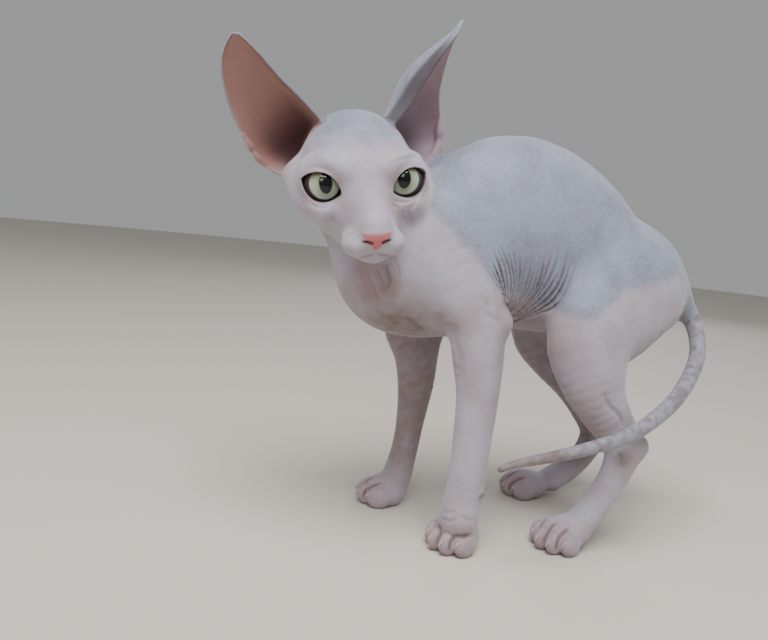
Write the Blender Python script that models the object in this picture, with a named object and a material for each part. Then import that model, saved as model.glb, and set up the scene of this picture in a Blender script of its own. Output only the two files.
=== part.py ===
"""A sphynx cat, life size: it stands with its back arched and its head turned to its left.

The cat faces -Y, its left side is +X and the floor is Z = 0. Shapes are worked out in millimetres
from named joints and sizes, as clay is built up: lumps and limbs are added with soft edges, hollows
are taken away, and the surface where the clay ends is meshed. The meshes are in metres.
"""
import math

import bmesh
import bpy
import numpy as np
from mathutils import Vector

MM = 0.001
GAP = 0.3                                   # room between neighbouring pieces
FAR = 1000.0

# Where the middle of the finished model's footprint is in the cat's own frame.
CENTRE = np.array([6.545, -21.21, 0.0])

# Trunk: Y, height of its middle, half depth, half width.
TRUNK = [
    (-84, 162, 26, 24),
    (-70, 165, 38, 32),
    (-45, 172, 49, 38),
    (-9, 189.5, 59.5, 41),
    (22, 185, 56, 42),
    (52, 174, 45, 39),
    (82, 166, 37, 34),
    (104, 161, 27, 26),
    (116, 158, 17, 17),
]
CHEST = ((0, -75, 165), (31, 38, 38))
WITHERS = ((0, -34, 206), (16, 22, 20))
PELVIS = ((0, 84, 170), (31, 30, 28))
BUTTOCK = ((18, 98, 152), (14, 14, 15))

# Neck: from between the shoulders round to the back of the turned head.
NECK = [
    (0, -58, 177, 29, 32),
    (-5, -79, 181, 27, 29),
    (-16, -97, 192, 26, 26),
    (-27, -107, 204, 24, 25),
]

# Head: its frame is forward, left and up, with the middle between the eyes at the origin.
HEAD_AT = np.array([28.4, -112.3, 208.0])
HEAD_YAW = 84.0                             # degrees from straight ahead towards the cat's left
HEAD_PITCH = -11.5
HEAD_ROLL = 9.5
HEAD_SCALE = 0.976
MOUTH_GROOVE = 1.3
CLEFT_GROOVE = 1.0
EYE_AT = (-5.0, 23.0, 0.0)
EYE_RADIUS = 11.5
LID_THICKNESS = 2.3
LID_HALF_LENGTH = 11.0
LID_TILT = 22.0                             # degrees the outer corner is raised
UPPER_LID = 7.2
LOWER_LID = 7.6

# Ear: its root and tip in the head's frame, then at fractions of its length the cup's half width,
# shift to the outside and depth, and how many degrees its opening is turned outwards there.
EAR_AT = (-34.0, 30.5, 17.0)
EAR_TIP = (-36.0, 64.0, 80.0)
EAR_START = -0.16
EARS = {
    "right": [
        (-0.16, 16.5, 0.0, 15.0, 12),
        (0.00, 21.2, 3.0, 17.5, 12),
        (0.12, 22.0, 4.9, 17.0, 12),
        (0.31, 20.2, 6.1, 13.8, 12),
        (0.56, 16.2, 7.2, 9.0, 12),
        (0.78, 11.8, 6.0, 4.8, 12),
        (0.90, 7.8, 4.2, 2.4, 12),
        (0.965, 4.0, 2.0, 1.0, 12),
        (0.99, 0.8, 1.2, 0.4, 12),
    ],
    "left": [
        (-0.16, 17.0, 1.0, 18.0, 24),
        (0.00, 21.5, 4.6, 20.5, 30),
        (0.12, 23.4, 8.4, 21.5, 36),
        (0.31, 20.6, 7.6, 21.5, 46),
        (0.50, 15.4, 1.5, 17.5, 55),
        (0.70, 11.8, -2.5, 10.5, 64),
        (0.86, 8.0, -5.0, 4.8, 72),
        (0.97, 3.8, -4.0, 1.6, 76),
        (1.05, 0.8, -2.0, 0.5, 76),
    ],
}
EAR_WALL_ROOT = 4.4
EAR_WALL_TIP = 1.7

# Limbs: X, Y, Z, half width front to back, half width side to side.
NEAR_FORELEG = [
    (27, -60, 182, 25, 13),
    (33, -52, 160, 22, 14),
    (36, -40, 139, 17.5, 13.5),
    (37, -36, 117, 15.5, 12.5),
    (38, -34, 95, 12.8, 11.2),
    (38, -34, 64, 11.6, 10.4),
    (38, -35, 37, 11.0, 10.6),
    (39, -37, 20, 11.6, 11.6),
]
FAR_FORELEG = [
    (-27, -62, 180, 25, 13),
    (-33, -54, 158, 23, 14),
    (-36, -49, 128, 21.5, 13),
    (-37, -44, 105, 15.5, 12),
    (-37, -42, 84, 12.4, 10.8),
    (-37, -43, 58, 9.4, 9.6),
    (-37, -45, 37, 8.8, 9.6),
    (-37, -48, 20, 9.8, 10.8),
]
NEAR_HINDLEG = [
    (20, 75, 165, 29, 16),
    (33, 63, 154, 33, 17),
    (41, 37, 136, 30, 17),
    (44, 38, 112, 22, 15),
    (45, 48, 92, 16, 12.5),
    (45, 62, 75, 13, 10.5),
    (45, 68, 60, 11.5, 9.5),
    (45, 62, 42, 8.8, 8.8),
    (44, 52, 26, 8.6, 9.4),
    (43, 43, 13, 8.6, 11.0),
]
FAR_HINDLEG = [
    (-20, 75, 165, 29, 16),
    (-33, 66, 151, 33, 17),
    (-42, 57, 129, 28, 17),
    (-44, 66, 107, 19, 15),
    (-45, 86, 85, 13.5, 12.5),
    (-45, 102, 66, 11.8, 10.5),
    (-45, 112, 49, 11, 9.5),
    (-45, 106, 32, 8.6, 8.8),
    (-44, 93, 20, 8.6, 9.4),
    (-44, 78, 11, 8.4, 11.0),
]
NEAR_HEEL = (45, 79, 66)
FAR_HEEL = (-45, 124, 52)
HEEL_RADIUS = 6.4
ELBOW = {"left": (37, -25, 138), "right": (-37, -36, 122)}
ELBOW_RADIUS = 6.8

# Paws: X and Y of the sole's middle, degrees the toes point outwards, and which side they are on.
PAWS = {
    "left_forepaw": (34.5, -35.5, 26.0, 1.0),
    "right_forepaw": (-38.5, -56.0, 10.0, -1.0),
    "left_hind_paw": (41.5, 33.0, 24.0, 1.0),
    "right_hind_paw": (-44.0, 58.0, 12.0, -1.0),
}

# Tail: X, Y, Z, radius.
TAIL = [
    (0, 100, 169, 13.0),
    (0, 117, 165, 9.5),
    (2, 131, 156, 7.0),
    (7, 140, 144, 5.8),
    (16, 140, 129, 5.4),
    (26, 131, 115, 5.3),
    (42, 107, 98, 5.1),
    (57, 77, 86, 4.7),
    (66, 52, 78.5, 4.2),
    (70, 28, 73.8, 3.8),
    (71, 8, 69.8, 3.5),
    (71, -8, 67.0, 3.0),
    (69, -22, 63.5, 2.5),
    (68, -30, 60.5, 1.9),
]

TAIL_STEPS = 3                              # rings between two rows of the tail
TAIL_SIDES = 10
GROOVE_SIDES = 6
GROOVE_STEPS = 4                            # rings between two points of a groove's line
NOSTRIL_SEGMENTS = 8
NOSTRIL_RINGS = 6
TUBE_UP = (0.3, 0.2, 1.0)                   # what a tube's rings are turned by; no tube runs along it
TAIL_ROOT_STEP = 5
TAIL_PARTINGS = (18, 27)

# Where the body is parted: a point on the plane and the direction out of the piece.
NECK_FOOT = ((0, -84, 188), (-0.10, -0.85, 0.50))
NECK_TOP = ((-18, -104, 196), (0.50, -0.45, 0.74))
EAR_PLANE = (0.804, 0.594)                  # outward and upward part of the ear plane's normal
EAR_PLANE_AT = (33.4, 19.5)                 # a point on it, left and up in the head's frame
LEGS = [
    {
        "names": ("left_foreleg", "left_forepaw"),
        "top": ((36, -38, 128), (0.35, 0, -0.94)),
        "region": (27, -72, -8),
        "joints": [((39, -37, 27), (0, -0.1, -1))],
        "triangles": 1150,
    },
    {
        "names": ("right_foreleg", "right_forepaw"),
        "top": ((-36, -50, 114), (-0.35, 0, -0.94)),
        "region": (27, -90, -12),
        "joints": [((-37, -47, 27), (0, -0.1, -1))],
        "triangles": 1150,
    },
    {
        "names": ("left_thigh", "left_shank", "left_hind_foot"),
        "top": ((42, 50, 132), (0.40, 0, -0.92)),
        "region": (30, -7, 124),
        "joints": [((44, 46, 102), (0, 0.4, -0.9)), ((45, 66, 73), (0, 0.2, -0.98))],
        "triangles": 1500,
    },
    {
        "names": ("right_thigh", "right_shank", "right_hind_foot"),
        "top": ((-42, 60, 128), (-0.40, 0, -0.92)),
        "region": (30, -9, 140),
        "joints": [((-44, 70, 98), (0, 0.7, -0.7)), ((-45, 108, 62), (0, 0.5, -0.85))],
        "triangles": 1500,
    },
]
HEAD_BOX = ((-66, -178, 118), (70, -30, 284))
TORSO_BOX = ((-60, -116, 100), (60, 160, 262))
HEAD_STEP = 1.21
TORSO_STEP = 4.0
LEG_STEP = 2.2
HEAD_TRIANGLES = 3500
TORSO_TRIANGLES = 1900
SLAB_DEPTH = 240.0
WIDE_SLAB = 300.0                           # half width of the slab under all four feet
NECK_SLAB = 110.0                           # half width of the slab that cuts the neck's foot
CHEST_SLAB = 90.0                           # the same for the torso, clear of the forelegs
TAIL_SLAB = 18.0                            # the same for the root of the tail
REGION_FLOOR = -30.0                        # how low the prism round a leg reaches
EAR_REACH = 38.0                            # half the width of the box that parts an ear
EYE_SEGMENTS = 16
EYE_RINGS = 10
CORNEA_RISE = 1.0

SKIN_BLUE_GREY = (0.50, 0.51, 0.56)
SKIN_PALE_PINK = (0.74, 0.66, 0.67)
EAR_PINK = (0.58, 0.40, 0.41)
EYE_GREEN = (0.45, 0.55, 0.40)


def unit(vector):
    return np.asarray(vector, float) / np.linalg.norm(vector)


def smooth_path(rows, per_span):
    """Points along a curve through the rows, which bends evenly from row to row (Catmull-Rom)."""
    rows = np.asarray(rows, float)
    padded = np.vstack([2 * rows[0] - rows[1], rows, 2 * rows[-1] - rows[-2]])
    a, b, c, d = (padded[i:len(padded) - 3 + i, None] for i in range(4))
    t = (np.arange(per_span) / per_span)[None, :, None]
    curve = b + 0.5 * t * (c - a + t * (2 * a - 5 * b + 4 * c - d + t * (3 * (b - c) + d - a)))
    return np.vstack([curve.reshape(-1, rows.shape[1]), rows[-1:]])


def within(low, high):
    """Give a shape the box it lies in, so that points far from it are passed over."""
    def mark(shape):
        shape.box = (np.asarray(low, float), np.asarray(high, float))
        return shape
    return mark


def lump(centre, radii, turn=np.eye(3)):
    """Distance to an ellipsoid whose own axes are the columns of turn."""
    centre = np.asarray(centre, float)
    radii = np.asarray(radii, float)
    half = np.sqrt((turn ** 2) @ radii ** 2)

    @within(centre - half, centre + half)
    def distance(points):
        local = (points - centre) @ turn
        ratio = np.linalg.norm(local / radii, axis=1)
        slope = np.linalg.norm(local / radii ** 2, axis=1) + 1e-9
        return ratio * (ratio - 1) / slope
    return distance


def limb(rows, per_span=4):
    """Distance to a limb along rows of X, Y, Z, half depth and half width.

    The section is an ellipse whose width lies along X.
    """
    rows = smooth_path(rows, per_span)
    thick = rows[:, 3:].max()

    @within(rows[:, :3].min(0) - thick, rows[:, :3].max(0) + thick)
    def distance(points):
        best = np.full(len(points), FAR)
        for start, end in zip(rows[:-1], rows[1:]):
            along = end[:3] - start[:3]
            offset = points - start[:3]
            t = np.clip(offset @ along / (along @ along), 0, 1)
            offset = offset - t[:, None] * along
            deep = start[3] + t * (end[3] - start[3])
            wide = start[4] + t * (end[4] - start[4])
            across = offset[:, 0] ** 2
            rest = (offset ** 2).sum(1) - across
            ratio = np.sqrt(across / wide ** 2 + rest / deep ** 2)
            slope = np.sqrt(across / wide ** 4 + rest / deep ** 4) + 1e-9
            best = np.minimum(best, ratio * (ratio - 1) / slope)
        return best
    return distance


def rod(start, end, start_radius, end_radius):
    """Distance to a straight rod with round ends that tapers from one radius to the other."""
    start = np.asarray(start, float)
    end = np.asarray(end, float)
    along = end - start
    thick = max(start_radius, end_radius)

    @within(np.minimum(start, end) - thick, np.maximum(start, end) + thick)
    def distance(points):
        offset = points - start
        t = np.clip(offset @ along / (along @ along), 0, 1)
        radius = start_radius + t * (end_radius - start_radius)
        return np.linalg.norm(offset - t[:, None] * along, axis=1) - radius
    return distance


def soft_least(a, b, soft):
    """The smaller of two distances, rounded where they are within soft of each other."""
    overlap = np.maximum(soft - np.abs(a - b), 0) / soft
    return np.minimum(a, b) - overlap ** 2 * soft / 4


class Clay:
    """A solid built up from steps, each of which adds a shape or carves one away."""

    reach = 14.0                            # how far outside its box a shape is still worked out

    def __init__(self):
        self.steps = []

    @property
    def box(self):
        """The box of all that was added."""
        lows, highs = zip(*(shape.box for shape, _, side in self.steps if side > 0))
        return np.min(lows, 0), np.max(highs, 0)

    def add(self, shape, soft):
        self.steps.append((shape, soft, 1))

    def carve(self, shape, soft):
        self.steps.append((shape, soft, -1))

    def __call__(self, points):
        value = np.full(len(points), FAR)
        for shape, soft, side in self.steps:
            low, high = shape.box
            near = ((points > low - self.reach) & (points < high + self.reach)).all(1)
            if near.any():
                value[near] = side * soft_least(side * value[near], shape(points[near]), soft)
        return value


# Frames of the head and the ears
def head_axes():
    """Columns are the head's forward, left and up directions."""
    yaw, pitch, roll = np.radians([HEAD_YAW, HEAD_PITCH, HEAD_ROLL])
    forward = np.array([
        math.sin(yaw) * math.cos(pitch),
        -math.cos(yaw) * math.cos(pitch),
        math.sin(pitch),
    ])
    level = np.array([math.cos(yaw), math.sin(yaw), 0.0])
    left = math.cos(roll) * level + math.sin(roll) * np.cross(forward, level)
    return np.column_stack([forward, left, np.cross(forward, left)])


def ear_axes(side, turned):
    """Columns are along the ear, across it to the outside, and out of its opening (head frame).

    The opening is turned outwards from straight ahead by the given number of degrees.
    """
    sign = 1 if side == "left" else -1
    along = unit((np.array(EAR_TIP) - EAR_AT) * (1, sign, 1))
    ahead = unit(np.array([1.0, 0, 0]) - along[0] * along)
    outside = np.cross(ahead, along) * -sign
    turn = math.radians(turned)
    opening = math.cos(turn) * ahead + math.sin(turn) * outside
    across = math.cos(turn) * outside - math.sin(turn) * ahead
    return np.column_stack([along, across, opening])


HEAD_AXES = head_axes()


def in_head(shape):
    """Turn a shape in the head's frame into one in the cat's frame."""
    corners = np.array(np.meshgrid(*np.transpose(shape.box))).reshape(3, -1)
    corners = HEAD_AT + (HEAD_AXES @ corners).T * HEAD_SCALE

    @within(corners.min(0), corners.max(0))
    def distance(points):
        return shape((points - HEAD_AT) @ HEAD_AXES / HEAD_SCALE) * HEAD_SCALE
    return distance


def both_sides(shape):
    """A shape on the head's left side, and its mirror image on the right."""
    low, high = shape.box

    @within((low[0], -high[1], low[2]), high)
    def distance(points):
        return shape(points * (1, 0, 1) + np.abs(points) * (0, 1, 0))
    return distance


def both_sides_of_trunk(shape):
    """A shape on the cat's left side, and its mirror image on the right."""
    low, high = shape.box

    @within((-high[0], low[1], low[2]), high)
    def distance(points):
        return shape(points * (0, 1, 1) + np.abs(points) * (1, 0, 0))
    return distance


def eye_axes():
    """Columns are out of the eye, along the lids to the outer corner, and up (head frame)."""
    tilt = math.radians(LID_TILT)
    outward = unit((1.0, 0.20, 0.06))
    along = unit(np.array([-0.20, math.cos(tilt), math.sin(tilt)]))
    along = unit(along - (along @ outward) * outward)
    return np.column_stack([outward, along, np.cross(outward, along)])


# Lines of the mouth, from the middle of the upper lip outwards, and of the cleft above it.
MOUTH_LINE = [(31.5, 0, -32.0), (27, 7.5, -34.5), (19, 13.0, -32.5), (10, 16.5, -28.0)]
CLEFT_LINE = [(34, 0, -24.5), (33, 0, -29.0), (31.5, 0, -32.5)]
NOSTRIL = [((36.0, 3.4, -24.4), (4.0, 1.8, 1.5)), ((34.0, 6.0, -23.8), (4.0, 2.2, 0.9))]


def ear_cavity(side):
    """The hollow at the root of the ear, which goes down into the head."""
    axes = ear_axes(side, EARS[side][1][4])
    centre = np.array(EAR_AT) * (1, 1 if side == "left" else -1, 1)
    return lump(centre + axes @ (6.0, 3.0, -5.5), (15.0, 12.5, 7.5), axes)


def head_clay():
    """Skull, cheeks, muzzle, chin, lids, nose, mouth and the roots of the ears, in the head frame."""
    head = Clay()
    head.add(lump((-35, 0, 6), (37, 33, 31)), 4)
    head.add(lump((-13, 0, 3), (24, 27, 20)), 10)
    head.add(lump((-42, 0, -9), (28, 28, 23)), 8)
    cheek = [(6, 25, -12, 6.5, 6.0), (-9, 31.5, -8, 8.5, 7.5), (-30, 33.5, 0, 10, 8.5)]
    head.add(both_sides(limb(cheek)), 10)
    jaw = [(-34, 21, -19, 9, 8), (-10, 13, -24, 8, 7), (12, 6, -31, 6, 6)]
    head.add(both_sides(limb(jaw)), 10)
    head.add(rod((-4, 0, -14), (19, 0, -23), 19, 12.5), 10)
    head.add(rod((4, 0, -3), (27, 0, -18), 9.5, 7.0), 8)
    head.add(both_sides(lump((22.5, 8.6, -27.5), (10.5, 8.6, 6.8))), 5)
    head.add(lump((19, 0, -34.0), (9.0, 7.5, 5.4)), 4)
    brow = [(4, 12, 9, 4.5, 5), (-1, 22, 13, 4, 5), (-9, 30, 10, 4, 4)]
    head.add(both_sides(limb(brow)), 8)
    head.add(both_sides(lump((-10.5, 24.0, 0.0), (13.0, 13.0, 14.0))), 6)
    head.add(lump((31.5, 0, -21.6), (4.8, 7.4, 5.0)), 2.5)
    head.add(both_sides(lump(EYE_AT, (EYE_RADIUS + LID_THICKNESS,) * 3)), 3)
    for side in ("left", "right"):
        head.carve(ear_cavity(side), 2.5)
    return head


def paw_clay(clay, name):
    """Four toes in an arc before a rounded pad, all turned to the way the paw points."""
    x, y, turned, side = PAWS[name]
    angle = math.radians(turned) * side
    ahead = np.array([math.sin(angle), -math.cos(angle), 0.0])
    across = np.array([math.cos(angle), math.sin(angle), 0.0])
    axes = np.column_stack([across, ahead, (0, 0, 1)])
    middle = np.array([x, y, 0.0])
    clay.add(lump(middle + (0, 0, 9), (14, 15, 9.5), axes), 6)
    clay.add(lump(middle - 3 * ahead + (0, 0, 4), (11, 9, 6), axes), 3)
    for offset, reach in ((-11.5, 5.0), (-4.2, 10.5), (4.2, 10.5), (11.5, 5.0)):
        toe = middle + offset * across + reach * ahead
        clay.add(lump(toe + (0, 0, 6.6), (4.9, 8.2, 7.6), axes), 1.6)


def shoulders_clay():
    """Trunk, chest, withers, neck and forelegs, which meet at the foot of the neck."""
    body = Clay()
    trunk = [(0, y, z, deep, wide) for y, z, deep, wide in TRUNK]
    body.add(limb(trunk), 4)
    body.add(lump(*CHEST), 18)
    body.add(lump(*WITHERS), 16)
    body.add(limb(NECK), 18)
    body.add(limb(NEAR_FORELEG), 16)
    body.add(limb(FAR_FORELEG), 16)
    return body


def body_clay():
    """The whole cat but the head's fine forms and the tail past its root."""
    body = shoulders_clay()
    body.add(lump(*PELVIS), 18)
    body.add(both_sides_of_trunk(lump(*BUTTOCK)), 12)
    body.add(limb(NEAR_HINDLEG), 16)
    body.add(limb(FAR_HINDLEG), 16)
    for elbow in ELBOW.values():
        body.add(lump(elbow, (ELBOW_RADIUS,) * 3), 8)
    for heel in (NEAR_HEEL, FAR_HEEL):
        body.add(lump(heel, (HEEL_RADIUS,) * 3), 9)
    for name in PAWS:
        paw_clay(body, name)
    tail_root = [(x, y, z, r, r) for x, y, z, r in TAIL[:4]]
    body.add(limb(tail_root), 14)
    return body


# Meshes
def skin_of(clay, low, high, step, settle=3):
    """Quads around the clay inside a box: one point in each cell that the surface crosses.

    Each point starts at the mean of its cell's crossings and then settles on the surface, down
    the slope of the distance. The box's outer layer counts as outside, so the mesh is closed.
    """
    axes = [np.arange(lo, hi + step, step) for lo, hi in zip(low, high)]
    shape = tuple(len(axis) for axis in axes)
    grid = np.stack(np.meshgrid(*axes, indexing="ij"), -1).reshape(-1, 3)
    value = np.concatenate([clay(part) for part in np.array_split(grid, 1 + len(grid) // 200000)])
    value = value.reshape(shape)
    for axis in range(3):
        ends = [slice(None)] * 3
        ends[axis] = [0, -1]
        value[tuple(ends)] = np.maximum(value[tuple(ends)], step)
    strides = np.array([shape[1] * shape[2], shape[2], 1])
    untangle(value, strides, step)
    flat = value.ravel()
    cells, spots, quads = [], [], []
    for axis in range(3):
        first = [slice(None)] * 3
        second = [slice(None)] * 3
        first[axis] = slice(0, -1)
        second[axis] = slice(1, None)
        crossing = (value[tuple(first)] < 0) != (value[tuple(second)] < 0)
        index = np.array(np.nonzero(crossing)).T
        start = index @ strides
        share = flat[start] / (flat[start] - flat[start + strides[axis]])
        spot = index.astype(float)
        spot[:, axis] += share
        one, two = strides[(axis + 1) % 3], strides[(axis + 2) % 3]
        around = np.stack([start, start - one, start - one - two, start - two], 1)
        cells.append(around.ravel())
        spots.append(np.repeat(spot, 4, axis=0))
        inside_first = flat[start] < 0
        quads.append(np.where(inside_first[:, None], around[:, ::-1], around)[:, ::-1])
    cells = np.concatenate(cells)
    used, number = np.unique(cells, return_inverse=True)
    number = number.ravel()
    count = np.bincount(number)
    spots = np.concatenate(spots)
    points = np.stack([np.bincount(number, spots[:, i]) / count for i in range(3)], 1)
    points = points * step + [axis[0] for axis in axes]
    quads = np.searchsorted(used, np.concatenate(quads))
    points = settle_on(clay, points, step, settle)
    return points, quads


def untangle(value, strides, step):
    """Where a face of the grid has its diagonals on opposite sides, flip its weakest corner.

    Such a face would give an edge that four quads share.
    """
    flat = value.reshape(-1)
    index = np.arange(value.size).reshape(value.shape)
    for _ in range(6):
        for axis in range(3):
            one, two = strides[(axis + 1) % 3], strides[(axis + 2) % 3]
            kept = [slice(0, -1)] * 3
            kept[axis] = slice(None)
            first = index[tuple(kept)].ravel()
            inside = flat < 0
            a, b, c, d = (inside[first + offset] for offset in (0, one, one + two, two))
            corners = first[(a == c) & (b == d) & (a != b)]
            corners = corners[:, None] + [0, one, one + two, two]
            weakest = np.abs(flat[corners]).argmin(1)
            picked = corners[np.arange(len(corners)), weakest]
            flat[picked] = np.where(flat[picked] < 0, 0.05, -0.05) * step


def settle_on(clay, points, step, rounds):
    """Move points to the surface along its slope, at most a third of a cell each round."""
    for _ in range(rounds):
        reach = 0.15 * step
        slope = np.stack([
            clay(points + reach * axis) - clay(points - reach * axis) for axis in np.eye(3)
        ], 1) / (2 * reach)
        length = np.maximum((slope ** 2).sum(1), 0.2)
        move = -clay(points)[:, None] * slope / length[:, None]
        size = np.linalg.norm(move, axis=1, keepdims=True)
        points = points + move * np.minimum(1, step / 3 / np.maximum(size, 1e-9))
    return points


def new_object(name, points, faces):
    """A mesh object in metres, with the footprint's middle at the origin."""
    mesh = bpy.data.meshes.new(name)
    faces = faces.tolist() if isinstance(faces, np.ndarray) else faces
    mesh.from_pydata(((np.asarray(points) - CENTRE) * MM).tolist(), [], faces)
    mesh.validate()
    made = bpy.data.objects.new(name, mesh)
    bpy.context.collection.objects.link(made)
    return made


def apply_modifiers(made):
    """Replace the object's mesh with the one its modifiers give."""
    bpy.context.view_layer.update()
    evaluated = made.evaluated_get(bpy.context.evaluated_depsgraph_get())
    mesh = bpy.data.meshes.new_from_object(evaluated)
    made.modifiers.clear()
    made.data = mesh
    mesh.name = made.name


def thin_out(made, triangles):
    """Merge the flattest faces until about this many triangles are left."""
    made.data.calc_loop_triangles()
    have = len(made.data.loop_triangles)
    if have > triangles:
        fewer = made.modifiers.new("fewer", "DECIMATE")
        fewer.ratio = triangles / have
        apply_modifiers(made)


def combine(made, other, operation):
    """Join, cut or keep what two closed meshes share, and delete the second.

    The head is cut more than ten times over and the EXACT solver fails on it. MANIFOLD, which needs
    closed meshes, doesn't, and all the meshes here are closed.
    """
    join = made.modifiers.new("combine", "BOOLEAN")
    join.operation = operation
    join.solver = "MANIFOLD"
    join.object = other
    apply_modifiers(made)
    bpy.data.objects.remove(other)


def slab(point, normal, size=160.0):
    """A box in front of a plane: its back face lies on the plane and is centred on the point."""
    normal = Vector(unit(normal))
    turn = normal.to_track_quat("Z", "Y").to_matrix()
    corners = [(x, y, z) for z in (0, SLAB_DEPTH) for y in (-size, size) for x in (-size, size)]
    points = [np.array(point) + np.array(turn @ Vector(c)) for c in corners]
    faces = [(0, 2, 3, 1), (4, 5, 7, 6), (0, 1, 5, 4), (2, 6, 7, 3), (0, 4, 6, 2), (1, 3, 7, 5)]
    return new_object("slab", points, faces)


def cut_off(made, point, normal, size=160.0):
    """Take away what lies in front of a plane, less half a gap."""
    normal = unit(normal)
    combine(made, slab(np.array(point, float) - normal * GAP / 2, normal, size), "DIFFERENCE")


def keep_largest(made):
    """Keep only the largest closed surface of a mesh."""
    mesh = bmesh.new()
    mesh.from_mesh(made.data)
    bmesh.ops.remove_doubles(mesh, verts=mesh.verts, dist=0.002 * MM)
    left = set(mesh.verts)
    groups = []
    while left:
        group = {left.pop()}
        edge = set(group)
        while edge:
            edge = {e.other_vert(v) for v in edge for e in v.link_edges} - group
            group |= edge
        left -= group
        groups.append(group)
    largest = max(groups, key=len)
    loose = [v for group in groups if group is not largest for v in group]
    bmesh.ops.delete(mesh, geom=loose, context="VERTS")
    mesh.to_mesh(made.data)
    mesh.free()


def finish(made, colour, roughness=0.6):
    """Name the material after the piece, and shade the mesh smooth."""
    keep_largest(made)
    made.data.shade_smooth()
    made.data.set_sharp_from_angle(angle=math.radians(50))
    material = bpy.data.materials.new(made.name + "_finish")
    material.use_nodes = True
    shader = material.node_tree.nodes["Principled BSDF"]
    shader.inputs["Base Color"].default_value = (*colour, 1)
    shader.inputs["Roughness"].default_value = roughness
    shader.inputs["Metallic"].default_value = 0.0
    made.data.materials.clear()
    made.data.materials.append(material)


# The pieces
def tube(points, radii, heading, sides):
    """A closed tube along points, with flat ends square to the heading there."""
    turns = np.linspace(0, 2 * math.pi, sides, endpoint=False)[:, None]
    rings = []
    for point, radius, ahead in zip(points, radii, heading):
        across = unit(np.cross(ahead, TUBE_UP))
        upward = np.cross(across, unit(ahead))
        rings.append(point + radius * (np.cos(turns) * across + np.sin(turns) * upward))
    index = np.arange(len(points) * sides).reshape(len(points), sides)
    after = np.roll(index, -1, axis=1)
    faces = np.stack([index[:-1], after[:-1], after[1:], index[1:]], -1).reshape(-1, 4).tolist()
    return np.concatenate(rings), faces + [index[0, ::-1].tolist(), index[-1].tolist()]


def ball(segments, rings):
    """Points and faces of a unit ball."""
    mesh = bmesh.new()
    bmesh.ops.create_uvsphere(mesh, u_segments=segments, v_segments=rings, radius=1)
    points = np.array([vertex.co for vertex in mesh.verts])
    faces = [[vertex.index for vertex in face.verts] for face in mesh.faces]
    mesh.free()
    return points, faces


def carve_in_head(made, points, faces, sides=(1, -1)):
    """Cut a closed shape of the head's left side, and its mirror image, out of the head."""
    for sign in sides:
        cutter = new_object("cutter", place_head(np.asarray(points) * (1, sign, 1)), faces)
        face_outwards(cutter)
        combine(made, cutter, "DIFFERENCE")


def lid_opening(steps=26):
    """The almond between the lids, from inside the eye out past the lids.

    At share x of the half length from the middle the upper lid stands at height * (1 - x^2)^0.75
    and the lower at height * (1 - x^2)^0.8.
    """
    turn = np.linspace(0, 2 * math.pi, steps, endpoint=False)
    along = np.cos(turn)
    share = 1 - along ** 2
    up = np.where(turn < math.pi, UPPER_LID * share ** 0.75, -LOWER_LID * share ** 0.8)
    outline = np.stack([np.zeros(steps), along * LID_HALF_LENGTH, up], 1)
    ends = [outline + (1.0, 0, 0), outline * (0, 1.15, 1.2) + (24.0, 0, 0)]
    points = EYE_AT + np.concatenate(ends) @ eye_axes().T
    near = np.arange(steps)
    after = np.roll(near, -1)
    faces = np.stack([near, after, after + steps, near + steps], 1).tolist()
    return points, faces + [near[::-1].tolist(), (near + steps).tolist()]


def carve_face(made, clay):
    """Open the lids, hollow the sockets, and cut the line of the mouth and the nostrils."""
    carve_in_head(made, *lid_opening())
    points, faces = ball(EYE_SEGMENTS, EYE_RINGS)
    carve_in_head(made, EYE_AT + points * EYE_RADIUS, faces)
    for line, radius, sides in ((MOUTH_LINE, MOUTH_GROOVE, (1, -1)), (CLEFT_LINE, CLEFT_GROOVE, (1,))):
        path = settle_on(clay, smooth_path(line, GROOVE_STEPS), 8.0, 8)
        taper = radius * np.linspace(1.0, 0.6, len(path))
        carve_in_head(made, *tube(path, taper, np.gradient(path, axis=0), GROOVE_SIDES), sides)
    points, faces = ball(NOSTRIL_SEGMENTS, NOSTRIL_RINGS)
    for centre, radii in NOSTRIL:
        carve_in_head(made, np.array(centre) + points * radii, faces)


def leg_region(point, normal, half_x, front, back):
    """A closed prism that holds a leg: a slanted top on the parting plane and upright sides."""
    x, y, z = point
    nx, ny, nz = unit(normal)
    columns = [(x - half_x, front), (x + half_x, front), (x + half_x, back), (x - half_x, back)]
    top = [(cx, cy, z - (nx * (cx - x) + ny * (cy - y)) / nz) for cx, cy in columns]
    bottom = [(cx, cy, REGION_FLOOR) for cx, cy in columns]
    faces = [(0, 1, 2, 3), (7, 6, 5, 4), (4, 5, 1, 0), (5, 6, 2, 1), (6, 7, 3, 2), (7, 4, 0, 3)]
    made = new_object("region", np.array(top + bottom), faces)
    face_outwards(made)
    return made


def part_at(made, point, normal, front_name, size=95.0):
    """Part a piece at a plane: what lies in front becomes a new piece, with the gap between.

    Only what is within size of the point, measured along the plane, is parted.
    """
    front = made.copy()
    front.data = made.data.copy()
    front.name = front_name
    bpy.context.collection.objects.link(front)
    cut_off(made, point, normal, size)
    normal = unit(normal)
    combine(front, slab(np.array(point, float) + normal * GAP / 2, normal, size), "INTERSECT")
    return front


def place_head(points):
    """Points of the head's frame in the cat's frame."""
    return HEAD_AT + np.asarray(points) @ HEAD_AXES.T * HEAD_SCALE


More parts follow.
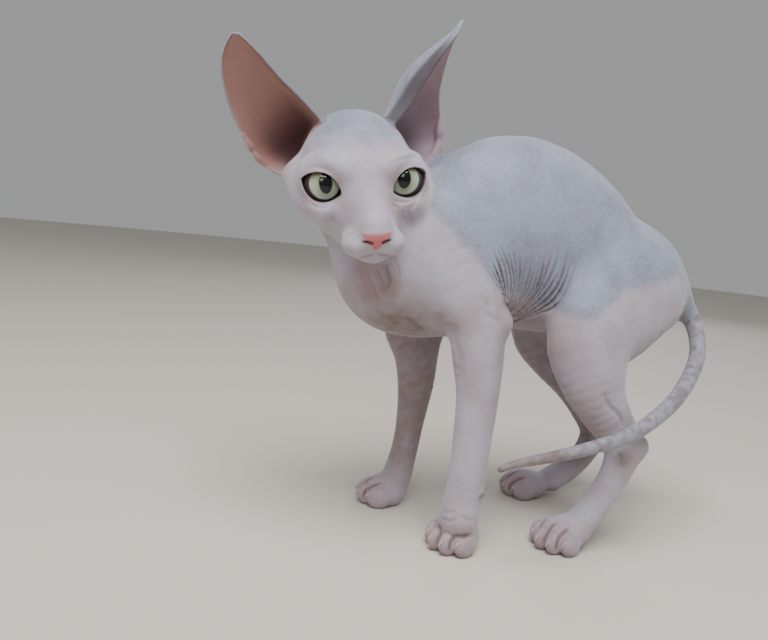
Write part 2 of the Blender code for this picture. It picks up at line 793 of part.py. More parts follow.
def ear_cup(side, rings=13, ribs=10):
    """A thick cup: half-width, shift, depth and turn follow the ear's profile from root to tip.

    At angle t across the cup a point lies at shift + width * sin t, and depth * cos t behind the
    opening. Both faces stand half a wall off that middle surface, and the rim is thinner.
    """
    rows = smooth_path(EARS[side], 6)
    share = EAR_START + (rows[-1, 0] - EAR_START) * np.linspace(0, 1, rings) ** 0.92
    width, shift, depth, turned = (np.interp(share, rows[:, 0], rows[:, i])[:, None] for i in range(1, 5))
    across = np.linspace(-1, 1, ribs)[None, :] * math.pi / 2
    length = np.linalg.norm(np.array(EAR_TIP) - EAR_AT)
    sideways = shift + width * np.sin(across)
    opening = -depth * np.cos(across) ** 1.2
    turn = np.radians(turned)
    middle = np.stack([
        np.broadcast_to(share[:, None] * length, (rings, ribs)),
        sideways * np.cos(turn) + opening * np.sin(turn),
        opening * np.cos(turn) - sideways * np.sin(turn),
    ], -1)
    normal = np.cross(np.gradient(middle, axis=0), np.gradient(middle, axis=1))
    normal /= np.linalg.norm(normal, axis=2, keepdims=True) + 1e-9
    wall = EAR_WALL_ROOT + (EAR_WALL_TIP - EAR_WALL_ROOT) * np.clip(share + 0.16, 0, 1) ** 0.5
    wall = wall[:, None] * (0.55 + 0.45 * np.cos(across))
    centre = np.array(EAR_AT) * (1, 1 if side == "left" else -1, 1)
    sheets = [middle + normal * wall[..., None] * half for half in (-0.5, 0.5)]
    points = np.concatenate([centre + f.reshape(-1, 3) @ ear_axes(side, 0).T for f in sheets])
    index = np.arange(rings * ribs).reshape(rings, ribs)
    quads = np.stack([index[:-1, :-1], index[1:, :-1], index[1:, 1:], index[:-1, 1:]], -1)
    rim = np.concatenate([index[0], index[1:, -1], index[-1, -2::-1], index[-2:0:-1, 0]])
    ahead = np.roll(rim, -1)
    other = rings * ribs
    quads = np.concatenate([
        quads.reshape(-1, 4),
        quads.reshape(-1, 4)[:, ::-1] + other,
        np.stack([rim, ahead, ahead + other, rim + other], 1),
    ])
    made = new_object("ear", place_head(points), quads)
    face_outwards(made)
    return made


def face_outwards(made):
    mesh = bmesh.new()
    mesh.from_mesh(made.data)
    bmesh.ops.recalc_face_normals(mesh, faces=mesh.faces)
    mesh.to_mesh(made.data)
    mesh.free()


def make_head_neck_and_ears():
    """The head with its neck are one skin, joined with both ears and then parted."""
    clay = shoulders_clay()
    head_shape = head_clay()
    clay.add(in_head(head_shape), 8)
    neck = new_object("neck", *skin_of(clay, HEAD_BOX[0], HEAD_BOX[1], HEAD_STEP))
    thin_out(neck, HEAD_TRIANGLES)
    carve_face(neck, head_shape)
    for side in ("left", "right"):
        combine(neck, ear_cup(side), "UNION")
    cut_off(neck, NECK_FOOT[0], -np.array(NECK_FOOT[1]), NECK_SLAB)
    head = part_at(neck, *NECK_TOP, "head")
    for side, sign in (("left", 1), ("right", -1)):
        normal = HEAD_AXES @ unit((0, sign * EAR_PLANE[0], EAR_PLANE[1]))
        point = place_head((-34, sign * EAR_PLANE_AT[0], EAR_PLANE_AT[1]))
        finish(part_at(head, point, normal, "ear_" + side, EAR_REACH), EAR_PINK)
    finish(head, SKIN_PALE_PINK)
    finish(neck, SKIN_PALE_PINK)


def make_eye(side):
    """An eyeball with a raised cornea, a gap inside its lids."""
    sign = 1 if side == "left" else -1
    points, faces = ball(EYE_SEGMENTS, EYE_RINGS)
    towards_front = np.clip((points @ eye_axes()[:, 0] - 0.8) / 0.2, 0, 1)
    radius = EYE_RADIUS - GAP / HEAD_SCALE + CORNEA_RISE * towards_front ** 0.5
    spots = EYE_AT + points * radius[:, None]
    made = new_object("eye_" + side, place_head(spots * (1, sign, 1)), faces)
    face_outwards(made)
    finish(made, EYE_GREEN, 0.05)


def make_leg(clay, names, top, region, joints, triangles):
    """One leg, parted from the body at a slanted plane and then at its joints."""
    half_x, front, back = region
    x, _, z = top[0]
    low = (x - half_x - 2, front - 2, -6)
    high = (x + half_x + 2, back + 2, z + 34)
    leg = new_object(names[0], *skin_of(clay, low, high, LEG_STEP))
    thin_out(leg, triangles)
    combine(leg, leg_region(*lowered(top), half_x, front, back), "INTERSECT")
    cut_floor(leg)
    for (point, normal), name in zip(joints, names[1:]):
        lower = part_at(leg, point, normal, name)
        finish(leg, SKIN_PALE_PINK)
        leg = lower
    finish(leg, SKIN_PALE_PINK)


def lowered(plane):
    """The same plane, half a gap further along its normal."""
    point, normal = plane
    return np.array(point) + unit(normal) * GAP / 2, normal


def raised(plane):
    point, normal = plane
    return np.array(point) - unit(normal) * GAP / 2, normal


def cut_floor(made):
    """Make the soles flat on the floor."""
    combine(made, slab((0, 0, 0), (0, 0, -1), WIDE_SLAB), "DIFFERENCE")


def make_torso(clay):
    torso = new_object("torso", *skin_of(clay, *TORSO_BOX, TORSO_STEP))
    thin_out(torso, TORSO_TRIANGLES)
    for leg in LEGS:
        combine(torso, leg_region(*raised(leg["top"]), *leg["region"]), "DIFFERENCE")
    cut_off(torso, *NECK_FOOT, CHEST_SLAB)
    points, _, heading = tail_frames()
    cut_off(torso, points[TAIL_ROOT_STEP], heading[TAIL_ROOT_STEP], TAIL_SLAB)
    finish(torso, SKIN_BLUE_GREY)


def tail_frames():
    """The tail's path as points, radii and headings."""
    rows = smooth_path(TAIL, TAIL_STEPS)
    heading = np.gradient(rows[:, :3], axis=0)
    return rows[:, :3], rows[:, 3], heading / np.linalg.norm(heading, axis=1, keepdims=True)


def make_tail():
    """Three lengths of a tapering round tail, each a tube with flat ends that face each other."""
    points, radii, heading = tail_frames()
    ends = [TAIL_ROOT_STEP, *TAIL_PARTINGS, len(points) - 1]
    for name, first, last in zip(("tail_base", "tail_middle", "tail_tip"), ends[:-1], ends[1:]):
        path = points[first:last + 1].copy()
        path[0] += heading[first] * GAP / 2
        path[-1] -= heading[last] * GAP / 2
        here = slice(first, last + 1)
        made = new_object(name, *tube(path, radii[here], heading[here], TAIL_SIDES))
        face_outwards(made)
        finish(made, SKIN_BLUE_GREY)


def make_cat():
    clay = body_clay()
    make_torso(clay)
    make_head_neck_and_ears()
    make_tail()
    for side in ("left", "right"):
        make_eye(side)
    for leg in LEGS:
        make_leg(clay, **leg)


for old in list(bpy.data.objects):
    bpy.data.objects.remove(old)
make_cat()
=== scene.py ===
"""A sphynx cat, life size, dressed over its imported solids: one skin, two eyes and the claws.

The cat faces -Y, its left side is +X and the floor is Z = 0. Shapes are worked out in millimetres
in the cat's own frame and put into meshes in metres.
"""
import math

import bmesh
import bpy
import numpy as np
from mathutils import Matrix


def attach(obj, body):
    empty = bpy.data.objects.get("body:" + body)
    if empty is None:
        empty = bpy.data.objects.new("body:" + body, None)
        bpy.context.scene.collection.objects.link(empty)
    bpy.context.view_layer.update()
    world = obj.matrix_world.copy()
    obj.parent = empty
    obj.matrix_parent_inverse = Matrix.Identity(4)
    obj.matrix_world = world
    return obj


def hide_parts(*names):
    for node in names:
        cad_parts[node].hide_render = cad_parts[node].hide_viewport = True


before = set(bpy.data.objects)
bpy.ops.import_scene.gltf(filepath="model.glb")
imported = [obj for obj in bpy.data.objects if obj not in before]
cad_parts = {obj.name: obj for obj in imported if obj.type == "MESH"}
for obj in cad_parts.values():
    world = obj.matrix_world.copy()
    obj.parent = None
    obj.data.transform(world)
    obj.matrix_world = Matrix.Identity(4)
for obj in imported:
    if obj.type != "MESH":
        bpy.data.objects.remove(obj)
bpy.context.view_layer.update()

MM = 0.001
FAR = 1000.0

# Where the middle of the model's footprint is in the cat's own frame.
CENTRE = np.array([6.545, -21.21, 0.0])

# Trunk: Y, height of its middle, half depth, half width.
TRUNK = [
    (-84, 162, 26, 24),
    (-70, 165, 38, 32),
    (-45, 172, 49, 38),
    (-9, 189.5, 59.5, 41),
    (22, 185, 56, 42),
    (52, 174, 45, 39),
    (82, 166, 37, 34),
    (104, 161, 27, 26),
    (116, 158, 17, 17),
]
CHEST = ((0, -75, 165), (31, 38, 38))
WITHERS = ((0, -34, 206), (16, 22, 20))
PELVIS = ((0, 84, 170), (31, 30, 28))
BUTTOCK = ((18, 98, 152), (14, 14, 15))

# Neck: from between the shoulders round to the back of the turned head.
NECK = [
    (0, -58, 177, 29, 32),
    (-5, -79, 181, 27, 29),
    (-16, -97, 192, 26, 26),
    (-27, -107, 204, 24, 25),
]

# Head: its frame is forward, left and up, with the middle between the eyes at the origin.
HEAD_AT = np.array([28.4, -112.3, 208.0])
HEAD_YAW = 84.0                             # degrees from straight ahead towards the cat's left
HEAD_PITCH = -11.5
HEAD_ROLL = 9.5
HEAD_SCALE = 0.976
EYE_AT = (-5.0, 23.0, 0.0)
EYE_RADIUS = 11.5
LID_THICKNESS = 2.3
LID_HALF_LENGTH = 11.0
LID_TILT = 22.0                             # degrees the outer corner is raised
UPPER_LID = 7.2
LOWER_LID = 7.6

# Ear: its root and tip in the head's frame, then at fractions of its length the cup's half width,
# shift to the outside and depth, and how many degrees its opening is turned outwards there.
EAR_AT = (-34.0, 30.5, 17.0)
EAR_TIP = (-36.0, 64.0, 80.0)
EAR_LENGTH = math.dist(EAR_AT, EAR_TIP)
EARS = {
    "right": [
        (-0.16, 16.5, 0.0, 15.0, 12),
        (0.00, 21.2, 3.0, 17.5, 12),
        (0.12, 22.0, 4.9, 17.0, 12),
        (0.31, 20.2, 6.1, 13.8, 12),
        (0.56, 16.2, 7.2, 9.0, 12),
        (0.78, 11.8, 6.0, 4.8, 12),
        (0.90, 7.8, 4.2, 2.4, 12),
        (0.965, 4.0, 2.0, 1.0, 12),
        (0.99, 0.8, 1.2, 0.4, 12),
    ],
    "left": [
        (-0.16, 17.0, 1.0, 18.0, 24),
        (0.00, 21.5, 4.6, 20.5, 30),
        (0.12, 23.4, 8.4, 21.5, 36),
        (0.31, 20.6, 7.6, 21.5, 46),
        (0.50, 15.4, 1.5, 17.5, 55),
        (0.70, 11.8, -2.5, 10.5, 64),
        (0.86, 8.0, -5.0, 4.8, 72),
        (0.97, 3.8, -4.0, 1.6, 76),
        (1.05, 0.8, -2.0, 0.5, 76),
    ],
}
EAR_SHADE = {"left": (0.45, 0.35), "right": (1.0, 0.52)}    # how dark the painted shade in the hollow is, how high it goes
EAR_RIM_SHADOW = {"left": 0.8, "right": 0.5}       # how dark the painted shadow along the inner rim is
POUCH = ((0.03, 1.4), (0.10, 2.7), (0.16, 2.0), (0.22, 2.8), (0.30, 1.2))    # share of the ear, radius
EAR_START = -0.16                           # share of the ear's length at which it starts
EAR_WALL_ROOT = 3.6
EAR_WALL_TIP = 1.7
EAR_WALL_EDGE = 0.36                        # half the wall, as a share of it, at the rims
EAR_WALL_MIDDLE = 0.14                      # and how much more at the back of the cup
EAR_POWER = 5 / 3                           # of the depth, in the curve of the cup's section

# Limbs: X, Y, Z, half width front to back, half width side to side.
NEAR_FORELEG = [
    (27, -60, 182, 25, 13),
    (33, -52, 160, 22, 14),
    (36, -40, 139, 17.5, 13.5),
    (37, -36, 117, 15.5, 12.5),
    (38, -34, 95, 12.8, 11.2),
    (38, -34, 64, 11.6, 10.4),
    (38, -35, 37, 11.0, 10.6),
    (39, -37, 20, 11.6, 11.6),
]
FAR_FORELEG = [
    (-27, -62, 180, 25, 13),
    (-33, -54, 158, 23, 14),
    (-36, -49, 128, 21.5, 13),
    (-37, -44, 105, 15.5, 12),
    (-37, -42, 84, 12.4, 10.8),
    (-37, -43, 58, 9.4, 9.6),
    (-37, -45, 37, 8.8, 9.6),
    (-37, -48, 20, 9.8, 10.8),
]
NEAR_HINDLEG = [
    (20, 75, 165, 29, 16),
    (33, 63, 154, 33, 17),
    (41, 37, 136, 30, 17),
    (44, 38, 112, 22, 15),
    (45, 48, 92, 16, 12.5),
    (45, 62, 75, 13, 10.5),
    (45, 68, 60, 11.5, 9.5),
    (45, 62, 42, 8.8, 8.8),
    (44, 52, 26, 8.6, 9.4),
    (43, 43, 13, 8.6, 11.0),
]
FAR_HINDLEG = [
    (-20, 75, 165, 29, 16),
    (-33, 66, 151, 33, 17),
    (-42, 57, 129, 28, 17),
    (-44, 66, 107, 19, 15),
    (-45, 86, 85, 13.5, 12.5),
    (-45, 102, 66, 11.8, 10.5),
    (-45, 112, 49, 11, 9.5),
    (-45, 106, 32, 8.6, 8.8),
    (-44, 93, 20, 8.6, 9.4),
    (-44, 78, 11, 8.4, 11.0),
]
NEAR_HEEL = (45, 79, 66)
FAR_HEEL = (-45, 124, 52)
HEEL_RADIUS = 6.4
ELBOWS = ((37, -25, 138), (-37, -36, 122))
ELBOW_RADIUS = 6.8

# Paws: X and Y of the sole's middle, degrees the toes point outwards, and which side they are on.
PAWS = {
    "left_forepaw": (34.5, -35.5, 26.0, 1.0),
    "right_forepaw": (-38.5, -56.0, 10.0, -1.0),
    "left_hind_paw": (41.5, 33.0, 24.0, 1.0),
    "right_hind_paw": (-44.0, 58.0, 12.0, -1.0),
}
TOES = ((-11.5, 5.0), (-4.2, 10.5), (4.2, 10.5), (11.5, 5.0))

# Tail: X, Y, Z, radius.
TAIL = [
    (0, 100, 169, 13.0),
    (0, 117, 165, 9.5),
    (2, 131, 156, 7.0),
    (7, 140, 144, 5.8),
    (16, 140, 129, 5.4),
    (26, 131, 115, 5.3),
    (42, 107, 98, 5.1),
    (57, 77, 86, 4.7),
    (66, 52, 78.5, 4.2),
    (70, 28, 73.8, 3.8),
    (71, 8, 69.8, 3.5),
    (71, -8, 67.0, 3.0),
    (69, -22, 63.5, 2.5),
    (68, -30, 60.5, 1.9),
]

# Mesh sizes. The skin is made in two lengths that meet at a plane behind the jaw and the ears.
HEAD_STEP = 0.77
BODY_STEP = 1.5
BLOCK = 4                                   # cells along the side of a block of the grid
SKIN_PLANE = ((0.0, -56.0, 226.0), (0.2, -0.75, 0.63))
HEAD_BOX = ((-62, -194, 126), (76, -40, 310))
BODY_BOX = ((-62, -124, -4), (80, 152, 256))

# Pleats of the flank: a fan in the side plane, whose folds bend forward as they rise.
FAN_AT = (-20.0, 125.0)                     # Y and Z where the folds would meet
FAN_FRONT = -19.0                           # degrees from upright, at FAN_LEVEL from the middle
FAN_BACK = 53.0
FAN_LEVEL = 30.0
FAN_BEND = 0.45                             # degrees for each mm out
FAN_FOLDS = 19
FAN_DEPTH = 1.7


def unit(vector):
    return np.asarray(vector, float) / np.linalg.norm(vector)


def smooth_step(value, low, high):
    """0 below low, 1 above high, and 3t^2 - 2t^3 between."""
    t = np.clip((value - low) / (high - low), 0, 1)
    return t * t * (3 - 2 * t)


def smooth_path(rows, per_span):
    """Points along a curve through the rows, which bends evenly from row to row (Catmull-Rom)."""
    rows = np.asarray(rows, float)
    padded = np.vstack([2 * rows[0] - rows[1], rows, 2 * rows[-1] - rows[-2]])
    a, b, c, d = (padded[i:len(padded) - 3 + i, None] for i in range(4))
    t = (np.arange(per_span) / per_span)[None, :, None]
    curve = b + 0.5 * t * (c - a + t * (2 * a - 5 * b + 4 * c - d + t * (3 * (b - c) + d - a)))
    return np.vstack([curve.reshape(-1, rows.shape[1]), rows[-1:]])


# Shapes as distances
def within(low, high):
    """Give a shape the box it lies in, so that points far from it are passed over."""
    def mark(shape):
        shape.box = (np.asarray(low, float), np.asarray(high, float))
        return shape
    return mark


def lump(centre, radii, turn=np.eye(3)):
    """Distance to an ellipsoid whose own axes are the columns of turn."""
    centre = np.asarray(centre, float)
    radii = np.asarray(radii, float)
    half = np.sqrt((turn ** 2) @ radii ** 2)

    @within(centre - half, centre + half)
    def distance(points):
        local = (points - centre) @ turn
        ratio = np.linalg.norm(local / radii, axis=1)
        slope = np.linalg.norm(local / radii ** 2, axis=1) + 1e-9
        return ratio * (ratio - 1) / slope
    return distance


def limb(rows, per_span=4):
    """Distance to a limb along rows of X, Y, Z, half depth and half width.

    The section is an ellipse whose width lies along X.
    """
    rows = smooth_path(rows, per_span)
    thick = rows[:, 3:].max()

    @within(rows[:, :3].min(0) - thick, rows[:, :3].max(0) + thick)
    def distance(points):
        best = np.full(len(points), FAR)
        for start, end in zip(rows[:-1], rows[1:]):
            along = end[:3] - start[:3]
            offset = points - start[:3]
            t = np.clip(offset @ along / (along @ along), 0, 1)
            offset = offset - t[:, None] * along
            deep = start[3] + t * (end[3] - start[3])
            wide = start[4] + t * (end[4] - start[4])
            across = offset[:, 0] ** 2
            rest = (offset ** 2).sum(1) - across
            ratio = np.sqrt(across / wide ** 2 + rest / deep ** 2)
            slope = np.sqrt(across / wide ** 4 + rest / deep ** 4) + 1e-9
            best = np.minimum(best, ratio * (ratio - 1) / slope)
        return best
    return distance


def rod(start, end, start_radius, end_radius):
    """Distance to a straight rod with round ends that tapers from one radius to the other."""
    start = np.asarray(start, float)
    end = np.asarray(end, float)
    along = end - start
    thick = max(start_radius, end_radius)

    @within(np.minimum(start, end) - thick, np.maximum(start, end) + thick)
    def distance(points):
        offset = points - start
        t = np.clip(offset @ along / (along @ along), 0, 1)
        radius = start_radius + t * (end_radius - start_radius)
        return np.linalg.norm(offset - t[:, None] * along, axis=1) - radius
    return distance


def soft_least(a, b, soft):
    """The smaller of two distances, rounded where they are within soft of each other."""
    overlap = np.maximum(soft - np.abs(a - b), 0) / soft
    return np.minimum(a, b) - overlap ** 2 * soft / 4


class Clay:
    """A solid built up from steps, each of which adds, carves away or scores a shape."""

    reach = 14.0                            # how far outside its box a shape is still worked out

    def __init__(self):
        self.steps = []

    def copy(self):
        """A clay with the same steps, which later steps of this one don't change."""
        other = Clay()
        other.steps = list(self.steps)
        return other

    @property
    def box(self):
        """The box of all that was added."""
        lows, highs = zip(*(shape.box for shape, _, side in self.steps if side > 0))
        return np.min(lows, 0), np.max(highs, 0)

    def add(self, shape, soft):
        self.steps.append((shape, soft, 1))

    def carve(self, shape, soft):
        self.steps.append((shape, soft, -1))

    def score(self, crease, depth, tone):
        """Press a crease, whose strength runs from 0 to 1, this far into the surface.

        Tone is how dark the painted shade in it is.
        """
        crease.tone = tone
        self.steps.append((crease, depth, 0))

    def __call__(self, points):
        value = np.full(len(points), FAR)
        for shape, amount, side in self.steps:
            low, high = shape.box
            reach = self.reach if side else 0.0
            near = ((points > low - reach) & (points < high + reach)).all(1)
            if not near.any():
                continue
            if side:
                value[near] = side * soft_least(side * value[near], shape(points[near]), amount)
            else:
                value[near] += amount * shape(points[near])
        return value

    def creases(self, points, toned=False):
        """How deep in a crease each point lies, or how dark its painted shade is there, 0 to 1 or more."""
        depth = np.zeros(len(points))
        for shape, _, side in self.steps:
            if side == 0:
                low, high = shape.box
                near = ((points > low) & (points < high)).all(1)
                depth[near] += shape(points[near]) * (shape.tone if toned else 1)
        return depth


def crease(line, width, clay, per_span=4):
    """A furrow along a line laid on the clay: exp(-(distance / width)^2), fading to its ends."""
    path = settle_on(clay, smooth_path(line, per_span), 8.0, 8)
    lengths = np.linalg.norm(np.diff(path, axis=0), axis=1)
    so_far = np.concatenate([[0], np.cumsum(lengths)]) / lengths.sum()

    @within(path.min(0) - 3 * width, path.max(0) + 3 * width)
    def strength(points):
        best = np.full(len(points), FAR)
        place = np.zeros(len(points))
        for i, (start, end) in enumerate(zip(path[:-1], path[1:])):
            along = end - start
            t = np.clip((points - start) @ along / (along @ along), 0, 1)
            away = ((points - start - t[:, None] * along) ** 2).sum(1)
            nearer = away < best
            best = np.where(nearer, away, best)
            place = np.where(nearer, so_far[i] + t * (so_far[i + 1] - so_far[i]), place)
        fade = np.clip(5 * np.minimum(place, 1 - place), 0, 1) ** 0.7
        return fade * np.exp(-best / width ** 2)
    return strength


def flank_pleats(side):
    """Pleats of one flank: narrow valleys between round ridges, on a fan of bent lines.

    In the side plane a point at distance r and angle a from the fan's middle lies on the line
    a + bend * (r - level). A valley lies on each whole number of folds; its strength is
    (1 - 2 * distance to it)^1.4, faded at the fan's rim, middle and sides.
    """
    draw = np.random.default_rng(7 + side)
    depths = 0.45 + 0.65 * draw.random(FAN_FOLDS + 3)
    tops = 55 + 14 * draw.random(FAN_FOLDS + 3)
    shifts = 0.22 * (draw.random(FAN_FOLDS + 3) - 0.5)
    y, z = FAN_AT
    low, high = sorted((side * 8.0, side * 56.0))

    @within((low, y - 62, z + 4), (high, y + 66, z + 76))
    def strength(points):
        r = np.hypot(points[:, 1] - y, points[:, 2] - z)
        angle = np.degrees(np.arctan2(points[:, 1] - y, points[:, 2] - z))
        angle = angle + FAN_BEND * (r - FAN_LEVEL)
        fold = (angle - FAN_FRONT) / (FAN_BACK - FAN_FRONT) * FAN_FOLDS
        fold = fold + 0.18 * np.sin(r / 7.0 + fold)
        index = np.clip(np.round(fold), -1, FAN_FOLDS + 1).astype(int) + 1
        away = np.abs(fold - (index - 1) - shifts[index])
        valley = np.clip(1 - 2 * away, 0, 1) ** 1.4 * depths[index]
        sides = smooth_step(fold, -0.7, 1.2) * (1 - smooth_step(fold, FAN_FOLDS - 1, FAN_FOLDS + 0.7))
        rim = 1 - smooth_step(r, tops[index] - 16, tops[index])
        return valley * sides * rim * smooth_step(r, 11, 22)
    return strength


# Frames of the head and the ears
def head_axes():
    """Columns are the head's forward, left and up directions."""
    yaw, pitch, roll = np.radians([HEAD_YAW, HEAD_PITCH, HEAD_ROLL])
    forward = np.array([
        math.sin(yaw) * math.cos(pitch),
        -math.cos(yaw) * math.cos(pitch),
        math.sin(pitch),
    ])
    level = np.array([math.cos(yaw), math.sin(yaw), 0.0])
    left = math.cos(roll) * level + math.sin(roll) * np.cross(forward, level)
    return np.column_stack([forward, left, np.cross(forward, left)])


HEAD_AXES = head_axes()


def place_head(points):
    """Points of the head's frame in the cat's frame."""
    return HEAD_AT + np.asarray(points) @ HEAD_AXES.T * HEAD_SCALE


def to_head(points):
    """Points of the cat's frame in the head's frame."""
    return (points - HEAD_AT) @ HEAD_AXES / HEAD_SCALE


def ear_axes(side, turned):
    """Columns are along the ear, across it to the outside, and out of its opening (head frame).

    The opening is turned outwards from straight ahead by the given number of degrees.
    """
    sign = 1 if side == "left" else -1
    along = unit((np.array(EAR_TIP) - EAR_AT) * (1, sign, 1))
    ahead = unit(np.array([1.0, 0, 0]) - along[0] * along)
    outside = np.cross(ahead, along) * -sign
    turn = math.radians(turned)
    opening = math.cos(turn) * ahead + math.sin(turn) * outside
    across = math.cos(turn) * outside - math.sin(turn) * ahead
    return np.column_stack([along, across, opening])


def in_head(shape, scale=HEAD_SCALE):
    """Turn a shape in the head's frame into one in the cat's frame.

    Its distances grow by the scale. A crease's strength isn't a distance and keeps a scale of 1.
    """
    corners = np.array(np.meshgrid(*np.transpose(shape.box))).reshape(3, -1)
    corners = place_head(corners.T)

    @within(corners.min(0), corners.max(0))
    def distance(points):
        return shape(to_head(points)) * scale
    return distance


def both_sides(shape, axis=1):
    """A shape on the left side, and its mirror image on the right, across one axis."""
    low, high = (np.array(corner, float) for corner in shape.box)
    low[axis] = -high[axis]
    mirrored = np.eye(3)[axis]

    @within(low, high)
    def distance(points):
        return shape(points * (1 - mirrored) + np.abs(points) * mirrored)
    return distance


def eye_axes():
    """Columns are out of the eye, along the lids to the outer corner, and up (head frame)."""
    tilt = math.radians(LID_TILT)
    outward = unit((1.0, 0.20, 0.06))
    along = unit(np.array([-0.20, math.cos(tilt), math.sin(tilt)]))
    along = unit(along - (along @ outward) * outward)
    return np.column_stack([outward, along, np.cross(outward, along)])


def lid_gap(points):
    """Distance to the almond between the left lids, in head space: negative between them.

    At share x of the half length from the middle the upper lid stands at height * (1 - x^2)^0.75
    and the lower at height * (1 - x^2)^0.8. Both draw apart a little to the front.
    """
    out, along, up = ((points - EYE_AT) @ eye_axes()).T
    flare = 1 + 0.007 * np.clip(out, 0, 24)
    x = np.clip(np.abs(along) / (LID_HALF_LENGTH * flare), 0, 1)
    share = 1 - x ** 2
    upper = up > 0
    edge = np.where(upper, UPPER_LID * share ** 0.75, LOWER_LID * share ** 0.8) * flare
    slope = np.clip(edge * 1.5 * x / (LID_HALF_LENGTH * (share + 0.02)), 0, 4)
    past = np.maximum(np.abs(along) - LID_HALF_LENGTH * flare, 0)
    return np.hypot((np.abs(up) - edge) / np.sqrt(1 + slope ** 2), past) * np.where(
        (np.abs(up) < edge) & (past == 0), -1, 1)


def lid_opening():
    """The space that the lids leave open, from inside the eye outwards."""
    centre = np.array(EYE_AT)

    @within(centre - 15, centre + 17)
    def distance(points):
        out = (points - EYE_AT) @ eye_axes()[:, 0]
        return np.maximum(lid_gap(points), 1.0 - out)
    return distance


def ear_root(side):
    """The middle of the ear's root in the head's frame."""
    return np.array(EAR_AT) * (1, 1 if side == "left" else -1, 1)


def ear_cavity(side):
    """The hollow at the root of the ear, which goes down into the head."""
    axes = ear_axes(side, EARS[side][1][4])
    return lump(ear_root(side) + axes @ (6.0, 3.0, -5.5), (15.0, 12.5, 7.5), axes)


def ear_place(side, points):
    """Where points of the head's frame are on an ear: share of its length, across and depth.

    Across runs from -1 at the inner rim to 1 at the outer one. Depth is 0 at the rims' plane and
    -1 at the back of the cup. The last two values are the cup's half width and depth there.
    """
    rows = smooth_path(EARS[side], 6)
    along, sideways, ahead = ((points - ear_root(side)) @ ear_axes(side, 0)).T
    share = along / EAR_LENGTH
    width, shift, depth, turned = (np.interp(share, rows[:, 0], rows[:, i]) for i in range(1, 5))
    turn = np.radians(turned)
    across = (sideways * np.cos(turn) - ahead * np.sin(turn) - shift) / width
    opening = (sideways * np.sin(turn) + ahead * np.cos(turn)) / depth
    return share, across, opening, width, depth


def cup_sum(across, opening):
    """The sum across^2 + |depth|^(5/3), which is 1 on the cup's middle surface."""
    return across ** 2 + np.maximum(-opening, 0) ** EAR_POWER


def ear_sheet(side):
    """Distance to the ear's thin cup.

    The cup's section is the curve across^2 + |depth|^(5/3) = 1 behind the rims' plane. The level
    of that sum, divided by its slope, is the distance to the cup's middle surface, and no less than
    0.7 of the way back to the section's own box.
    """
    rows = np.array(EARS[side])
    low = ear_root(side) - (34, 34, 16)
    high = ear_root(side) + (34, 34, 86)
    if side == "left":
        high[1] += 16
    else:
        low[1] -= 16
    tip = rows[-1, 0]

    def level(points):
        return cup_sum(*ear_place(side, points)[1:3]) - 1

    @within(low, high)
    def distance(points):
        share, across, opening, width, depth = ear_place(side, points)
        behind = np.maximum(-opening, 0)
        step = ear_axes(side, 0)[:, 0] * 0.5
        slope = np.sqrt(
            (2 * across / width) ** 2
            + (EAR_POWER * behind ** (EAR_POWER - 1) / depth) ** 2
            + (level(points + step) - level(points - step)) ** 2
        ) + 0.004
        away = np.abs(cup_sum(across, opening) - 1) / slope
        beyond = np.maximum((np.abs(across) - 1) * width, (behind - 1) * depth)
        away = np.hypot(np.maximum(away, 0.7 * beyond), np.maximum(opening, 0) * depth)
        thinned = np.clip(share - EAR_START, 0, 1) ** 0.5
        wall = EAR_WALL_ROOT + (EAR_WALL_TIP - EAR_WALL_ROOT) * thinned
        middle = np.sqrt(np.clip(1 - across ** 2, 0, 1))
        past = (np.maximum(share - tip, 0) + np.maximum(EAR_START - share, 0)) * EAR_LENGTH
        return np.hypot(away, past) - wall * (EAR_WALL_EDGE + EAR_WALL_MIDDLE * middle)
    return distance


def ear_pouch(side):
    """The small double fold of skin low on the ear's outer rim."""
    axes = ear_axes(side, 0)
    rows = smooth_path(EARS[side], 6)
    bumps = []
    for share, size in POUCH:
        width, shift, _, turned = (np.interp(share, rows[:, 0], rows[:, i]) for i in range(1, 5))
        turn = math.radians(turned)
        out = width + shift - 0.5
        spot = share * EAR_LENGTH, out * math.cos(turn), -out * math.sin(turn)
        bumps.append((*(ear_root(side) + axes @ spot), size, size))
    return limb(bumps)


# The head's clay
MOUTH_LINE = [(31.5, 0, -32.0), (27, 7.5, -34.5), (19, 13.0, -32.5), (10, 16.5, -28.0)]
CLEFT_LINE = [(34, 0, -24.5), (33, 0, -29.0), (31.5, 0, -32.5)]
NOSTRIL = [((36.0, 3.6, -24.4), (3.2, 1.5, 1.1)), ((34.0, 5.8, -23.8), (3.0, 1.9, 0.7))]

# Folds of the neck from below the jaw to the chest, in the cat's frame.
NECK_FOLDS = [
    [(20.5, -108, 162.5), (21.5, -106.5, 157.5), (23, -103, 151.5), (23, -99, 145.5)],
    [(24.5, -104.5, 163.5), (24.5, -103.5, 158), (26, -100, 152), (25, -96.5, 146)],
    [(27, -100.5, 165), (28.5, -98, 158.5), (28.5, -95.5, 154), (27.5, -94.5, 148)],
    [(30, -96.5, 167), (30.5, -95, 163), (31, -93, 158), (29, -93, 151.5)],
    [(32.5, -93, 170.5), (33, -92, 168), (33.5, -89.5, 162.5), (33, -88.5, 156.5)],
]
# How dark the painted shade in each neck fold is.
NECK_SHADE_TONES = (0.35, 0.45, 0.45, 0.75, 0.35)
